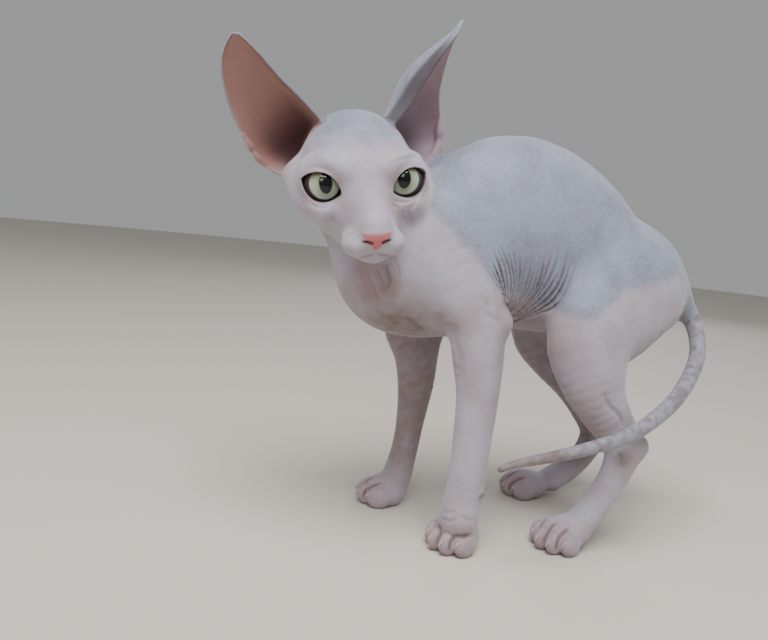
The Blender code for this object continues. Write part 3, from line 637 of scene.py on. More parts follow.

# Other folds: points, width, depth and how dark the painted shade in each is.
FOLDS = [
    # chest and shoulder
    ([(26, -81, 137.5), (24.5, -72.5, 133), (19, -63, 127.5)], 1.8, 0.9, 0.5),
    ([(41.5, -56, 138), (39.5, -53, 125.5), (42, -50, 116.5), (42, -48, 102)], 2.6, 1.0, 0.25),
    ([(34, -51, 116.5), (37, -50, 112.5), (40.5, -49, 109.5)], 1.5, 0.5, 0.2),
    ([(40, -66, 142), (36, -60, 134.5), (33, -56.5, 128)], 2.4, 0.8, 0.2),
    ([(48.5, -46, 155), (48.5, -43, 152), (48, -36.5, 146.5)], 1.6, 0.5, 0.2),
    ([(49, -42, 145.5), (49, -36.5, 142), (47.5, -30.5, 140)], 1.6, 0.5, 0.2),
    # cheek
    ([(38.5, -85, 204), (41, -87.5, 200), (39, -89.5, 195.5), (36, -84.5, 186)], 1.2, 0.6, 0.3),
    ([(37, -90.5, 193), (35.5, -88, 189), (36.5, -85.5, 184)], 1.0, 0.5, 0.25),
    # round the eyes
    ([(40, -100, 201.5), (38, -95, 200.5), (40, -89.5, 201.5), (37, -83.5, 205.5)], 0.9, 0.5, 0.45),
    ([(41, -101.5, 203.5), (40.5, -99.5, 199), (38.5, -95, 197)], 0.9, 0.35, 0.3),
    ([(28.5, -141.5, 194.5), (33.5, -137.5, 193), (34, -132, 194)], 0.9, 0.5, 0.45),
    ([(40.5, -101.5, 220), (39, -97, 222.5), (36.5, -91, 224.5), (31.5, -84, 225.5)], 1.1, 0.4, 0.2),
    ([(25.5, -145, 211), (28, -142.5, 213.5), (31, -138.5, 213.5), (34.5, -132, 211.5)], 1.1, 0.4, 0.2),
    ([(21.5, -146, 213.5), (23.5, -143, 217.5), (27.5, -139.5, 219)], 1.2, 0.4, 0.2),
    # calves, hocks and wrist
    ([(58, 37.5, 103), (58, 43, 95.5), (57.5, 48, 92), (56.5, 54, 87), (56.5, 56.5, 81)], 1.7, 1.0, 0.5),
    ([(54.5, 61, 92.5), (52, 64.5, 90.5), (49.5, 68, 88.5)], 1.3, 0.7, 0.4),
    ([(52, 58.5, 64), (53, 61, 62), (53, 62.5, 58.5), (54.5, 65.5, 56.5)], 1.9, 1.2, 0.5),
    ([(-40, 102, 48.5), (-39, 104, 45)], 1.0, 0.8, 0.8),
    ([(-37, 103.5, 51), (-37, 106, 47)], 1.0, 0.8, 0.8),
    ([(39, -48, 25), (44, -46.5, 26), (47, -43.5, 27.5)], 1.1, 0.5, 0.4),
    ([(39.5, -48.5, 21), (45.5, -46.5, 21.5), (48.5, -43, 24)], 1.1, 0.6, 0.5),
    ([(49, -40.5, 26), (50, -36.5, 23.5), (49.5, -33, 23.5)], 1.1, 0.5, 0.4),
]

# Small pads and nubs on the backs of the forelegs.
NUBS = [
    ((-29.5, -33.5, 83), 1.4),
    ((-27.8, -40.3, 59), 1.3),
    ((-28.1, -42.0, 37.5), 1.6),
    ((46.3, -28.6, 38), 2.6),
]


def head_clay():
    """Skull, cheeks, muzzle, chin, lids, nose, mouth and the roots of the ears, in the head frame."""
    head = Clay()
    head.add(lump((-35, 0, 6), (37, 33, 31)), 4)
    head.add(lump((-13, 0, 3), (24, 27, 20)), 10)
    head.add(lump((-42, 0, -9), (28, 28, 23)), 8)
    cheek = [(6, 25, -12, 6.5, 6.0), (-9, 31.5, -8, 8.5, 7.5), (-30, 33.5, 0, 10, 8.5)]
    head.add(both_sides(limb(cheek)), 10)
    jaw = [(-34, 21, -19, 9, 8), (-10, 13, -24, 8, 7), (12, 6, -31, 6, 6)]
    head.add(both_sides(limb(jaw)), 10)
    head.add(rod((-4, 0, -14), (19, 0, -23), 19, 12.5), 10)
    head.add(rod((4, 0, -3), (27, 0, -18), 9.5, 7.0), 8)
    head.add(both_sides(lump((22.5, 8.6, -27.5), (10.5, 8.6, 6.8))), 5)
    head.add(lump((19, 0, -34.0), (9.0, 7.5, 5.4)), 4)
    brow = [(4, 12, 9, 4.5, 5), (-1, 22, 13, 4, 5), (-9, 30, 10, 4, 4)]
    head.add(both_sides(limb(brow)), 8)
    head.add(both_sides(lump((-10.5, 24.0, 0.0), (13.0, 13.0, 14.0))), 6)
    head.add(lump((31.5, 0, -21.6), (4.8, 7.4, 5.0)), 2.5)
    head.add(both_sides(lump(EYE_AT, (EYE_RADIUS + LID_THICKNESS,) * 3)), 3)
    for side in ("left", "right"):
        head.carve(ear_cavity(side), 2.5)
        head.add(ear_sheet(side), 3.0)
        head.add(ear_pouch(side), 1.5)
    return head


def detail_face(clay, head):
    """Open the lids, bed the eyes, and score the mouth and the nostrils."""
    clay.carve(in_head(both_sides(lid_opening())), 0.5)
    clay.carve(in_head(both_sides(lump(EYE_AT, (EYE_RADIUS + 0.1,) * 3))), 0.3)
    for centre, radii in NOSTRIL:
        clay.carve(in_head(both_sides(lump(centre, radii))), 0.5)
    smooth = head.copy()
    clay.score(in_head(both_sides(crease(MOUTH_LINE, 1.1, smooth)), 1), 1.5, 1.0)
    clay.score(in_head(crease(CLEFT_LINE, 0.7, smooth), 1), 1.2, 0.5)


def paw_frame(name):
    """The sole's middle, and columns across, ahead and up."""
    x, y, turned, side = PAWS[name]
    angle = math.radians(turned) * side
    ahead = np.array([math.sin(angle), -math.cos(angle), 0.0])
    across = np.array([math.cos(angle), math.sin(angle), 0.0])
    return np.array([x, y, 0.0]), np.column_stack([across, ahead, (0, 0, 1)])


def paw_clay(clay, name):
    """Four toes in an arc before a rounded pad, all turned to the way the paw points."""
    middle, axes = paw_frame(name)
    across, ahead, _ = axes.T
    clay.add(lump(middle + (0, 0, 9), (14, 15, 9.5), axes), 6)
    clay.add(lump(middle - 3 * ahead + (0, 0, 4), (11, 9, 6), axes), 3)
    for offset, reach in TOES:
        toe = middle + offset * across + reach * ahead
        clay.add(lump(toe + (0, 0, 6.6), (4.9, 8.2, 7.6), axes), 1.3)


def paw_creases(clay, smooth, name):
    """Creases between the toes, from behind the knuckles down to the sole, and one on each knuckle."""
    middle, axes = paw_frame(name)
    for (left, reach), (right, other) in zip(TOES[:-1], TOES[1:]):
        x, y = (left + right) / 2, (reach + other) / 2
        line = [(x, y - 5, 15.5), (x, y + 2, 13.5), (x, y + 6.5, 9), (x, y + 7, 2.5)]
        clay.score(crease(middle + np.array(line) @ axes.T, 1.25, smooth), 1.2, 1.0)
    for offset, reach in TOES:
        line = [(offset - 3, reach + 2.5, 12.5), (offset, reach + 2, 14), (offset + 3, reach + 2.5, 12.5)]
        clay.score(crease(middle + np.array(line) @ axes.T, 0.9, smooth), 0.5, 0.45)


@within((-200, -300, -60), (200, 300, 0))
def below_floor(points):
    """Distance to what lies below the floor."""
    return points[:, 2]


def cat_clay():
    """The whole cat, smooth, and then with its face, pleats and creases."""
    body = Clay()
    trunk = [(0, y, z, deep, wide) for y, z, deep, wide in TRUNK]
    body.add(limb(trunk), 4)
    body.add(lump(*CHEST), 18)
    body.add(lump(*WITHERS), 16)
    body.add(limb(NECK), 18)
    body.add(limb(NEAR_FORELEG), 16)
    body.add(limb(FAR_FORELEG), 16)
    body.add(lump(*PELVIS), 18)
    body.add(both_sides(lump(*BUTTOCK), 0), 12)
    body.add(limb(NEAR_HINDLEG), 16)
    body.add(limb(FAR_HINDLEG), 16)
    for elbow in ELBOWS:
        body.add(lump(elbow, (ELBOW_RADIUS,) * 3), 8)
    for heel in (NEAR_HEEL, FAR_HEEL):
        body.add(lump(heel, (HEEL_RADIUS,) * 3), 9)
    for name in PAWS:
        paw_clay(body, name)
    tail = [(x, y, z, r, r) for x, y, z, r in TAIL]
    body.add(limb(tail[:4]), 14)
    body.add(limb(tail[2:], 3), 1.0)
    for spot, radius in NUBS:
        body.add(lump(spot, (radius,) * 3), 1.5)
    head = head_clay()
    body.add(in_head(head), 8)
    smooth = body.copy()
    detail_face(body, head)
    for side in (1, -1):
        body.score(flank_pleats(side), FAN_DEPTH, 1.0)
    for line, tone in zip(NECK_FOLDS, NECK_SHADE_TONES):
        body.score(crease(line, 1.0, smooth), 0.6 + 0.5 * tone, tone)
    for first, second in zip(NECK_FOLDS[:-1], NECK_FOLDS[1:]):
        between = (np.array(first) + second) / 2 + (0, 0, 1.5)
        body.score(crease(between, 0.8, smooth), 0.5, 0.3)
    for line, width, depth, tone in FOLDS:
        body.score(crease(line, width, smooth), depth, tone)
    for name in PAWS:
        paw_creases(body, smooth, name)
    body.carve(below_floor, 0.8)
    return body


# Meshes
def sample_near(clay, axes, step, plane):
    """The clay's distances on a grid, worked out in full only in blocks near the surface.

    Blocks well behind the plane, a point and a direction, are passed over.
    """
    coarse = [axis[::BLOCK] for axis in axes]
    places = np.stack(np.meshgrid(*coarse, indexing="ij"), -1)
    rough = in_parts(clay, places.reshape(-1, 3)).reshape(places.shape[:3])
    near = (np.abs(rough) < 1.8 * BLOCK * step) & ((places - plane[0]) @ plane[1] > -2 * BLOCK * step)
    value = rough
    blocks = near[:-1, :-1, :-1]
    for i, j, k in np.argwhere(np.ones((2, 2, 2))):
        last_i, last_j, last_k = (len(axis) - 1 for axis in coarse)
        blocks = blocks | near[i:i + last_i, j:j + last_j, k:k + last_k]
    for axis in range(3):
        value = np.repeat(value, BLOCK, axis)
        blocks = np.repeat(blocks, BLOCK, axis)
    value = value[:len(axes[0]), :len(axes[1]), :len(axes[2])].copy()
    wanted = np.zeros(value.shape, bool)
    for i, j, k in np.argwhere(np.ones((2, 2, 2))):
        wanted[i:i + blocks.shape[0], j:j + blocks.shape[1], k:k + blocks.shape[2]] |= blocks
    index = np.argwhere(wanted)
    value[wanted] = in_parts(clay, index * step + [axis[0] for axis in axes])
    return value


def in_parts(clay, points, most=200000):
    """Work out the clay's distances a few points at a time, which needs less memory."""
    return np.concatenate([clay(part) for part in np.array_split(points, 1 + len(points) // most)])


def skin_of(clay, low, high, step, plane):
    """Quads around the clay inside a box: one point in each cell that the surface crosses."""
    cells = [BLOCK * math.ceil((hi - lo) / step / BLOCK) for lo, hi in zip(low, high)]
    axes = [lo + step * np.arange(count + 1) for lo, count in zip(low, cells)]
    value = sample_near(clay, axes, step, plane)
    shape = value.shape
    for axis in range(3):
        ends = [slice(None)] * 3
        ends[axis] = [0, -1]
        value[tuple(ends)] = np.maximum(value[tuple(ends)], step)
    strides = np.array([shape[1] * shape[2], shape[2], 1])
    untangle(value, strides, step)
    flat = value.ravel()
    cells, spots, quads = [], [], []
    for axis in range(3):
        first = [slice(None)] * 3
        second = [slice(None)] * 3
        first[axis] = slice(0, -1)
        second[axis] = slice(1, None)
        crossing = (value[tuple(first)] < 0) != (value[tuple(second)] < 0)
        index = np.array(np.nonzero(crossing)).T
        start = index @ strides
        share = flat[start] / (flat[start] - flat[start + strides[axis]])
        spot = index.astype(float)
        spot[:, axis] += share
        one, two = strides[(axis + 1) % 3], strides[(axis + 2) % 3]
        around = np.stack([start, start - one, start - one - two, start - two], 1)
        cells.append(around.ravel())
        spots.append(np.repeat(spot, 4, axis=0))
        inside_first = flat[start] < 0
        quads.append(np.where(inside_first[:, None], around[:, ::-1], around)[:, ::-1])
    cells = np.concatenate(cells)
    used, number = np.unique(cells, return_inverse=True)
    number = number.ravel()
    count = np.bincount(number)
    spots = np.concatenate(spots)
    points = np.stack([np.bincount(number, spots[:, i]) / count for i in range(3)], 1)
    points = points * step + [axis[0] for axis in axes]
    quads = np.searchsorted(used, np.concatenate(quads))
    return points, quads


def untangle(value, strides, step):
    """Where a face of the grid has its diagonals on opposite sides, flip its weakest corner.

    Such a face would give an edge that four quads share.
    """
    flat = value.reshape(-1)
    for _ in range(6):
        found = 0
        for axis in range(3):
            inside = value < 0
            corners = []
            for one, two in ((0, 0), (1, 0), (1, 1), (0, 1)):
                part = [slice(None)] * 3
                part[(axis + 1) % 3] = slice(one, one - 1 or None)
                part[(axis + 2) % 3] = slice(two, two - 1 or None)
                corners.append(inside[tuple(part)])
            a, b, c, d = corners
            first = np.argwhere((a == c) & (b == d) & (a != b)) @ strides
            if not len(first):
                continue
            found += len(first)
            one, two = strides[(axis + 1) % 3], strides[(axis + 2) % 3]
            corners = first[:, None] + [0, one, one + two, two]
            weakest = np.abs(flat[corners]).argmin(1)
            picked = corners[np.arange(len(corners)), weakest]
            flat[picked] = np.where(flat[picked] < 0, 0.05, -0.05) * step
        if not found:
            return


def slope_of(clay, points, step):
    """How steeply the clay's distance grows in each direction at each point."""
    reach = 0.12 * min(step, 1.5)
    return np.stack([
        in_parts(clay, points + reach * axis) - in_parts(clay, points - reach * axis)
        for axis in np.eye(3)
    ], 1) / (2 * reach)


def settle_on(clay, points, step, rounds, within_plane=None):
    """Move points to the surface along its slope, at most a third of a cell each round.

    With a direction given, they only slide square to it.
    """
    for _ in range(rounds):
        slope = slope_of(clay, points, step)
        if within_plane is not None:
            slope = slope - (slope @ within_plane)[:, None] * within_plane
        length = np.maximum((slope ** 2).sum(1), 0.2)
        move = -in_parts(clay, points)[:, None] * slope / length[:, None]
        size = np.linalg.norm(move, axis=1, keepdims=True)
        points = points + move * np.minimum(1, step / 3 / np.maximum(size, 1e-9))
    return points


def new_piece(name, points, faces, replaced=()):
    """A mesh in metres that rides with the cat, shaded smooth."""
    mesh = bpy.data.meshes.new(name)
    faces = faces.tolist() if isinstance(faces, np.ndarray) else faces
    mesh.from_pydata(((np.asarray(points) - CENTRE) * MM).tolist(), [], faces)
    mesh.validate()
    mesh.shade_smooth()
    made = bpy.data.objects.new(name, mesh)
    bpy.context.collection.objects.link(made)
    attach(made, "root")
    if replaced:
        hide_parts(*replaced)
    return made


def split_quads(points, quads, picked):
    """Split the picked quads in four; neighbours take the new points of their shared edges."""
    mesh = bmesh.new()
    verts = [mesh.verts.new(point) for point in points]
    for quad in quads:
        mesh.faces.new([verts[i] for i in quad])
    mesh.faces.ensure_lookup_table()
    edges = {edge for i in np.flatnonzero(picked) for edge in mesh.faces[i].edges}
    bmesh.ops.subdivide_edges(mesh, edges=list(edges), cuts=1, use_grid_fill=True)
    mesh.verts.index_update()
    points = np.array([vertex.co for vertex in mesh.verts])
    faces = [[vertex.index for vertex in face.verts] for face in mesh.faces]
    mesh.free()
    return points, faces


def cut_at_plane(points, faces, plane, side):
    """Keep the mesh on one side of a plane and close it there with a flat face."""
    normal = unit(plane[1]) * side
    mesh = bmesh.new()
    verts = [mesh.verts.new(point) for point in points]
    for face in faces:
        mesh.faces.new([verts[i] for i in face])
    everything = mesh.verts[:] + mesh.edges[:] + mesh.faces[:]
    cut = bmesh.ops.bisect_plane(
        mesh, geom=everything, dist=1e-4, plane_co=plane[0], plane_no=normal, clear_inner=True)
    rim = [edge for edge in cut["geom_cut"] if isinstance(edge, bmesh.types.BMEdge)]
    bmesh.ops.edgeloop_fill(mesh, edges=rim)
    bmesh.ops.triangulate(mesh, faces=[face for face in mesh.faces if len(face.verts) > 4])
    mesh.verts.index_update()
    points = np.array([vertex.co for vertex in mesh.verts])
    faces = [[vertex.index for vertex in face.verts] for face in mesh.faces]
    mesh.free()
    return points, faces


# What is painted where
MANTLE_EDGE = [                             # Y, and the height above which the flank is blue-grey
    (-104, 226),
    (-88, 208),
    (-76, 199),
    (-63, 186),
    (-52, 178),
    (-36, 160),
    (-28, 148),
    (-10, 140),
    (10, 136),
    (28, 146),
    (48, 163),
    (95, 174),
    (112, 150),
    (128, 130),
]
RUMP_PATCH = ((46, 62, 179), 15)


def near_point(points, centre, radius):
    """1 at the centre, fading to 0 at the radius."""
    away = np.linalg.norm(points - np.array(centre, float), axis=1)
    return 1 - smooth_step(away, 0.3 * radius, radius)


# Where the skin is painted browner, mostly as shade under the chest, belly and neck and in folds: centre,
# radius and strength.
BROWN_SHADE_SPOTS = [
    ((12, -80, 132), 36, 0.95),
    ((47, -22, 137), 10, 0.35),
    ((53, 62, 60), 9, 0.55),
    ((47.5, -28, 38), 4, 0.9),
    ((0, 10, 118), 45, 0.6),
    ((29, -92, 153), 12, 0.55),
    ((22, -99, 143), 16, 0.5),
]
# Where it is more mauve: the skin's own blush, and painted shade under the jaw.
MAUVE_SPOTS = [
    ((24, -100, 157), 24, 0.9),
    ((38, -88, 193), 12, 0.3),
    ((40, -45, 110), 20, 0.4),
    ((50, 20, 118), 20, 0.35),
    ((50, 60, 85), 14, 0.5),
    ((48, 74, 62), 12, 0.6),
]
TAIL_FIRST = 3                              # the row from which the tail stands clear of the rump


def strongest(points, spots):
    """The strongest of some fading spots at each point."""
    return np.max([power * near_point(points, centre, radius) for centre, radius, power in spots], 0)


def tail_paint(points):
    """Which points are on the tail, and how near each is to its tip, 0 to 1."""
    rows = [(x, y, z, r, r) for x, y, z, r in TAIL[TAIL_FIRST:]]
    on_tail = (limb(rows, 3)(points) < 0.9).astype(float)
    off_tip = np.linalg.norm(points - np.array(TAIL[-1][:3]), axis=1)
    return on_tail, on_tail * (1 - smooth_step(off_tip, 34, 48))


def paint(points, outward, clay):
    """The masks that the skin's finish reads, for points of the cat's frame and their normals."""
    x, y, z = points.T
    head = to_head(points)
    f, l, u = head.T
    mirrored = head * (1, 0, 1) + np.abs(head) * (0, 1, 0)
    on_tail, tail_end = tail_paint(points)
    mantle = (z - np.interp(y, *np.transpose(MANTLE_EDGE))) / 12
    mantle = np.where((on_tail > 0) | (y > 120), 1.0, mantle)
    off_head = np.full(len(points), FAR)
    near = np.linalg.norm(head - (-15, 0, 20), axis=1) < 110
    off_head[near] = head_clay()(head[near])
    crown = (u - 9 - 0.25 * np.abs(l) - 0.18 * f) / 18
    blaze = np.exp(-(l / (3.5 + 0.12 * np.abs(u - 10))) ** 2) * (1 - smooth_step(u, 12, 22))
    on_head = np.clip(0.45 * crown - 0.22, -1, 0.3) - 0.5 * blaze * (f > 0)
    share = smooth_step(off_head, 0.5, 4)
    mantle = share * mantle + (1 - share) * on_head
    inner = {}
    hollow = np.zeros(len(points))
    dark = np.zeros(len(points))
    for side in ("left", "right"):
        along, across, opening, _, _ = ear_place(side, head)
        level = cup_sum(across, opening) - 1
        here = (np.abs(along - 0.4) < 0.7) & (np.abs(across) < 1.15) & (np.abs(opening + 0.525) < 0.775)
        inside = here & (level < 0)
        inner[side] = inside * smooth_step(along, -0.22, 0.02)
        power, top = EAR_SHADE[side]
        # Painted shade deep in the ear's hollow, darker low down and far into the cup.
        low = 1 - smooth_step(along + 0.12 * across, 0.02, top)
        deep = inside * low * smooth_step(-opening, 0.2, 0.8)
        hollow = np.maximum(hollow, power * deep)
        # Painted shadow of the fold along the ear's inner rim.
        edge = here * smooth_step(-across, 0.86, 0.97) * smooth_step(along, 0.02, 0.12)
        dark = np.maximum(dark, EAR_RIM_SHADOW[side] * edge * (1 - 0.6 * smooth_step(along, 0.7, 0.95)))
    off_eye = np.linalg.norm(mirrored - EYE_AT, axis=1) - EYE_RADIUS
    gap = lid_gap(mirrored)
    by_eye = (off_eye < 6) & (off_eye > -1) & (mirrored[:, 0] > -4)
    # The lid margins are dark, partly their own colour and partly painted shade in the gap by the eyeball.
    lid_edge = (1 - smooth_step(gap, 0.0, 0.5)) * (1 - 0.75 * smooth_step(off_eye, 0.6, 2.0))
    dark = np.maximum(dark, 0.85 * lid_edge * by_eye)
    nose_side = np.abs(l) - (1.2 + np.clip((u + 28.6) * 0.8, 0, 6.9))
    nose = (f > 27) * (1 - smooth_step(nose_side, -0.4, 0.5)) * (1 - smooth_step(u, -20.0, -19.0))
    nose = nose * smooth_step(u, -29.6, -28.4)
    # Painted shade inside the nostrils, over their own deeper red.
    nostril = np.zeros(len(points))
    for centre, radii in NOSTRIL:
        ratio = np.linalg.norm((mirrored - centre) / radii, axis=1)
        nostril = np.maximum(nostril, 1 - smooth_step(ratio, 0.9, 1.25))
    fan = np.hypot(y - FAN_AT[0], z - FAN_AT[1])
    in_fan = (1 - smooth_step(fan, 26, 54)) * (np.abs(x) > 22) * smooth_step(y, -36, -24)
    mantle = mantle - 1.3 * in_fan
    # Painted shade, brown: in the flank's pleats, at the spots, on every underside, on the far legs and on
    # the inner sides of the near legs; the tail's tip is browner too.
    brown = 0.35 * in_fan
    brown = np.maximum(brown, strongest(points, BROWN_SHADE_SPOTS))
    brown = np.maximum(brown, 0.65 * smooth_step(-outward[:, 2], 0.1, 0.85) * (off_head > 4))
    far_leg = (x < -14) * (1 - smooth_step(z, 112, 135)) * smooth_step(z, 8, 40)
    inner_leg = (x > 8) * (x < 45) * smooth_step(-outward[:, 0], 0.1, 0.7) * (1 - smooth_step(z, 120, 145))
    brown = np.maximum(brown, np.maximum(0.75 * far_leg, 0.55 * inner_leg))
    brown = np.maximum(brown, 0.75 * tail_end)
    mauve = strongest(points, MAUVE_SPOTS)
    # Painted shade, mauve: round the eyes, beside the muzzle and under the chin.
    mauve = np.maximum(mauve, 0.55 * by_eye * (1 - smooth_step(gap, 1.0, 5.0)))
    mauve = np.maximum(mauve, 0.5 * near_point(mirrored, (14, 15, -12), 13))
    mauve = np.maximum(mauve, 0.35 * (1 - smooth_step(u, -34, -26)) * (off_head < 1))
    for name in PAWS:
        middle, axes = paw_frame(name)
        local = (points - middle) @ axes
        toes = smooth_step(local[:, 1], -6, 12) * (1 - smooth_step(z, 14, 30))
        mauve = np.maximum(mauve, 0.9 * toes * (np.linalg.norm(local, axis=1) < 34))
    return {
        "mantle": np.clip(mantle, -1, 1),
        "crease": clay.creases(points, True),
        "pink_ear": inner["left"],
        "brown_ear": inner["right"],
        "hollow": hollow,
        "dark": dark,
        "nose": nose,
        "nostril": nostril,
        "brown": brown,
        "mauve": mauve,
        "tail": on_tail,
        "patch": near_point(points, *RUMP_PATCH),
    }


# Materials
class Value:
    """A number that varies over a surface; each operator on it adds a Math node."""

    def __init__(self, finish, socket):
        self.finish = finish
        self.socket = socket

    def math(self, operation, *others, first=None):
        values = [self, *others] if first is None else [first, self]
        settings = {"operation": operation}
        return self.finish.node("ShaderNodeMath", settings, dict(enumerate(values)))

    def __add__(self, other):
        return self.math("ADD", other)

    def __sub__(self, other):
        return self.math("SUBTRACT", other)

    def __rsub__(self, other):
        return self.math("SUBTRACT", first=other)

    def __mul__(self, other):
        return self.math("MULTIPLY", other)

    def __truediv__(self, other):
        return self.math("DIVIDE", other)

    def __pow__(self, other):
        return self.math("POWER", other)

    __radd__ = __add__
    __rmul__ = __mul__

    def root(self):
        return self.math("SQRT")

    def step(self, low, high):
        """0 below low, 1 above high, smooth between."""
        settings = {"interpolation_type": "SMOOTHSTEP", "clamp": True}
        inputs = {"Value": self, "From Min": low, "From Max": high}
        return self.finish.node("ShaderNodeMapRange", settings, inputs)


class Finish:
    """A material under construction. Every node is added by one method."""

    def __init__(self, name):
        self.material = bpy.data.materials.new(name)
        self.material.use_nodes = True
        self.tree = self.material.node_tree
        self.shader = self.tree.nodes["Principled BSDF"]

    def node(self, kind, settings, inputs, output=0):
        made = self.tree.nodes.new(kind)
        for key, value in settings.items():
            setattr(made, key, value)
        for key, value in inputs.items():
            self.feed(made.inputs[key], value)
        return Value(self, made.outputs[output])

    def feed(self, socket, value):
        if isinstance(value, Value):
            self.tree.links.new(value.socket, socket)
        elif isinstance(value, tuple) and len(value) == 3 and socket.type == "RGBA":
            socket.default_value = (*value, 1)
        else:
            socket.default_value = value

    def surface(self, **inputs):
        """Set the shader's own sockets; an underscore in a name stands for a space."""
        for key, value in inputs.items():
            self.feed(self.shader.inputs[key.replace("_", " ")], value)

    def place(self):
        """Where a point is on the object, in metres."""
        return self.node("ShaderNodeTexCoord", {}, {}, "Object")

    def mask(self, name):
        """A mask that the mesh carries."""
        return self.node("ShaderNodeAttribute", {"attribute_name": name}, {}, "Fac")

    def noise(self, size_mm, detail=3.0, stretch=(1, 1, 1)):
        """Soft noise from 0 to 1, whose blotches are about size_mm across."""
        where = self.node("ShaderNodeMapping", {}, {"Vector": self.place(), "Scale": stretch})
        inputs = {"Vector": where, "Scale": 1 / (size_mm * MM), "Detail": detail}
        return self.node("ShaderNodeTexNoise", {}, inputs, "Fac")

    def mix(self, share, first, second):
        """Blend two colours."""
        inputs = {"Factor": share, 6: first, 7: second}
        return self.node("ShaderNodeMix", {"data_type": "RGBA"}, inputs, 2)

    def bump(self, height, depth_mm, strength):
        inputs = {"Height": height, "Distance": depth_mm * MM, "Strength": strength}
        return self.node("ShaderNodeBump", {}, inputs)


PALE_SKIN = (0.36, 0.315, 0.35)
WHITE_SKIN = (0.41, 0.39, 0.47)
MANTLE_LIGHT = (0.27, 0.30, 0.385)
MANTLE_DARK = (0.195, 0.215, 0.28)
SHADE_BROWN = (0.15, 0.095, 0.08)
# Mauve of the skin's own blush, also painted as shade round the eyes and under the jaw.
MAUVE_BLUSH_AND_SHADE = (0.33, 0.235, 0.265)
# Painted shade in creases and folds.
CREASE_SHADE = (0.085, 0.045, 0.038)
TAIL_GREY = (0.28, 0.28, 0.32)
TAIL_BROWN = (0.17, 0.14, 0.145)
EAR_BROWN = (0.28, 0.15, 0.13)
EAR_MAUVE = (0.40, 0.26, 0.31)
# Painted shade deep in the ears' hollows.
EAR_HOLLOW_SHADE = (0.06, 0.014, 0.02)
# Dark of the ears' inner rims as painted shadow, of the lid margins, partly painted shade, and of the
# iris's edge.
RIM_DARK = (0.05, 0.03, 0.032)
NOSE_SALMON = (0.50, 0.15, 0.16)
# Painted shade inside the nostrils.
NOSTRIL_RED_AND_SHADE = (0.16, 0.04, 0.04)


def skin_finish():
    """Pale skin with a blue-grey mantle and painted brown shade in the folds, under the body and round the
    eyes, all under a fine down.
    """
    skin = Finish("sphynx_skin")
    blotch = skin.noise(22, 4)
    cloud = skin.noise(60, 2)
    speck = skin.noise(2.2, 4)
    mottle = skin.noise(6, 3)
    pale = skin.mix(blotch.step(0.35, 0.7), WHITE_SKIN, PALE_SKIN)
    grey = skin.mix((blotch * 0.6 + speck * 0.4).step(0.35, 0.68), MANTLE_LIGHT, MANTLE_DARK)
    grey = skin.mix(skin.mask("patch") * speck.step(0.3, 0.6) * 0.8, grey, MANTLE_DARK)
    tail_skin = skin.mix(mottle.step(0.38, 0.62), TAIL_GREY, TAIL_BROWN)
    grey = skin.mix(skin.mask("tail") * 0.75, grey, tail_skin)
    edge = skin.mask("mantle") + (skin.noise(9, 4) - 0.5) * 0.4 + (cloud - 0.5) * 0.4
    colour = skin.mix(edge.step(-0.35, 0.4), pale, grey)
    # Mauve: the skin's own blush, and painted shade round the eyes, muzzle, chin and jaw.
    colour = skin.mix(skin.mask("mauve") * (0.45 + mottle * 0.7), colour, MAUVE_BLUSH_AND_SHADE)
    # Painted shade, brown, under the body, on the far legs and in the folds.
    colour = skin.mix(skin.mask("brown") * (0.4 + mottle * 0.8), colour, SHADE_BROWN)
    colour = skin.mix(skin.mask("pink_ear"), colour, skin.mix(blotch, EAR_MAUVE, PALE_SKIN))
    colour = skin.mix(skin.mask("brown_ear"), colour, EAR_BROWN)
    # Painted shade deep in the ears' hollows.
    colour = skin.mix(skin.mask("hollow"), colour, EAR_HOLLOW_SHADE)
    # Painted shade in the creases, the pleats and the folds.
    colour = skin.mix(skin.mask("crease").step(0.05, 0.95) * 0.9, colour, CREASE_SHADE)
    colour = skin.mix(skin.mask("nose"), colour, NOSE_SALMON)
    # Painted shade inside the nostrils.
    colour = skin.mix(skin.mask("nostril") * 0.7, colour, NOSTRIL_RED_AND_SHADE)
    # Painted shadow along the ears' inner rims, and dark lid margins, partly painted shade by the
    # eyeballs.
    colour = skin.mix(skin.mask("dark"), colour, RIM_DARK)
    rough = 0.62 - skin.mask("nose") * 0.15 - skin.mask("dark") * 0.15 + (speck - 0.5) * 0.12
    down = skin.noise(0.5, 2, (1, 1, 0.35))
    pores = skin.noise(1.3, 3)
    wrinkles = skin.noise(3.5, 2, (1, 1, 2.2))
    height = pores * 0.45 + down * 0.3 + wrinkles * 0.7
    skin.surface(
        Base_Color=colour,
        Roughness=rough,
        Normal=skin.bump(height, 0.35, 0.6),
        Sheen_Weight=0.25,
        Sheen_Roughness=0.45,
        Subsurface_Weight=0.12,
        Subsurface_Scale=0.004,
        Specular_IOR_Level=0.35,
    )
    return skin.material


IRIS_RADIUS = 8.6
PUPIL_HALF = (3.6, 5.4)
GAZE = {"left": (0.96, -0.17, 0.28), "right": (0.98, 0.05, 0.24)}
CORNEA_RISE = 1.0
IRIS_MINT = (0.33, 0.43, 0.29)
# Olive of the iris round the pupil, also its painted shadow under the upper lid.
IRIS_OLIVE_AND_LID_SHADOW = (0.13, 0.13, 0.06)
IRIS_PALE = (0.44, 0.56, 0.41)


def eye_centre(side):
    return np.array(EYE_AT) * (1, 1 if side == "left" else -1, 1)


def gaze_axes(side):
    """Columns are where the eye looks, its left and its up, in the head's frame."""
    look = unit(GAZE[side])
    left = unit(np.cross((0, 0, 1), look))
    return np.column_stack([look, left, np.cross(look, left)])


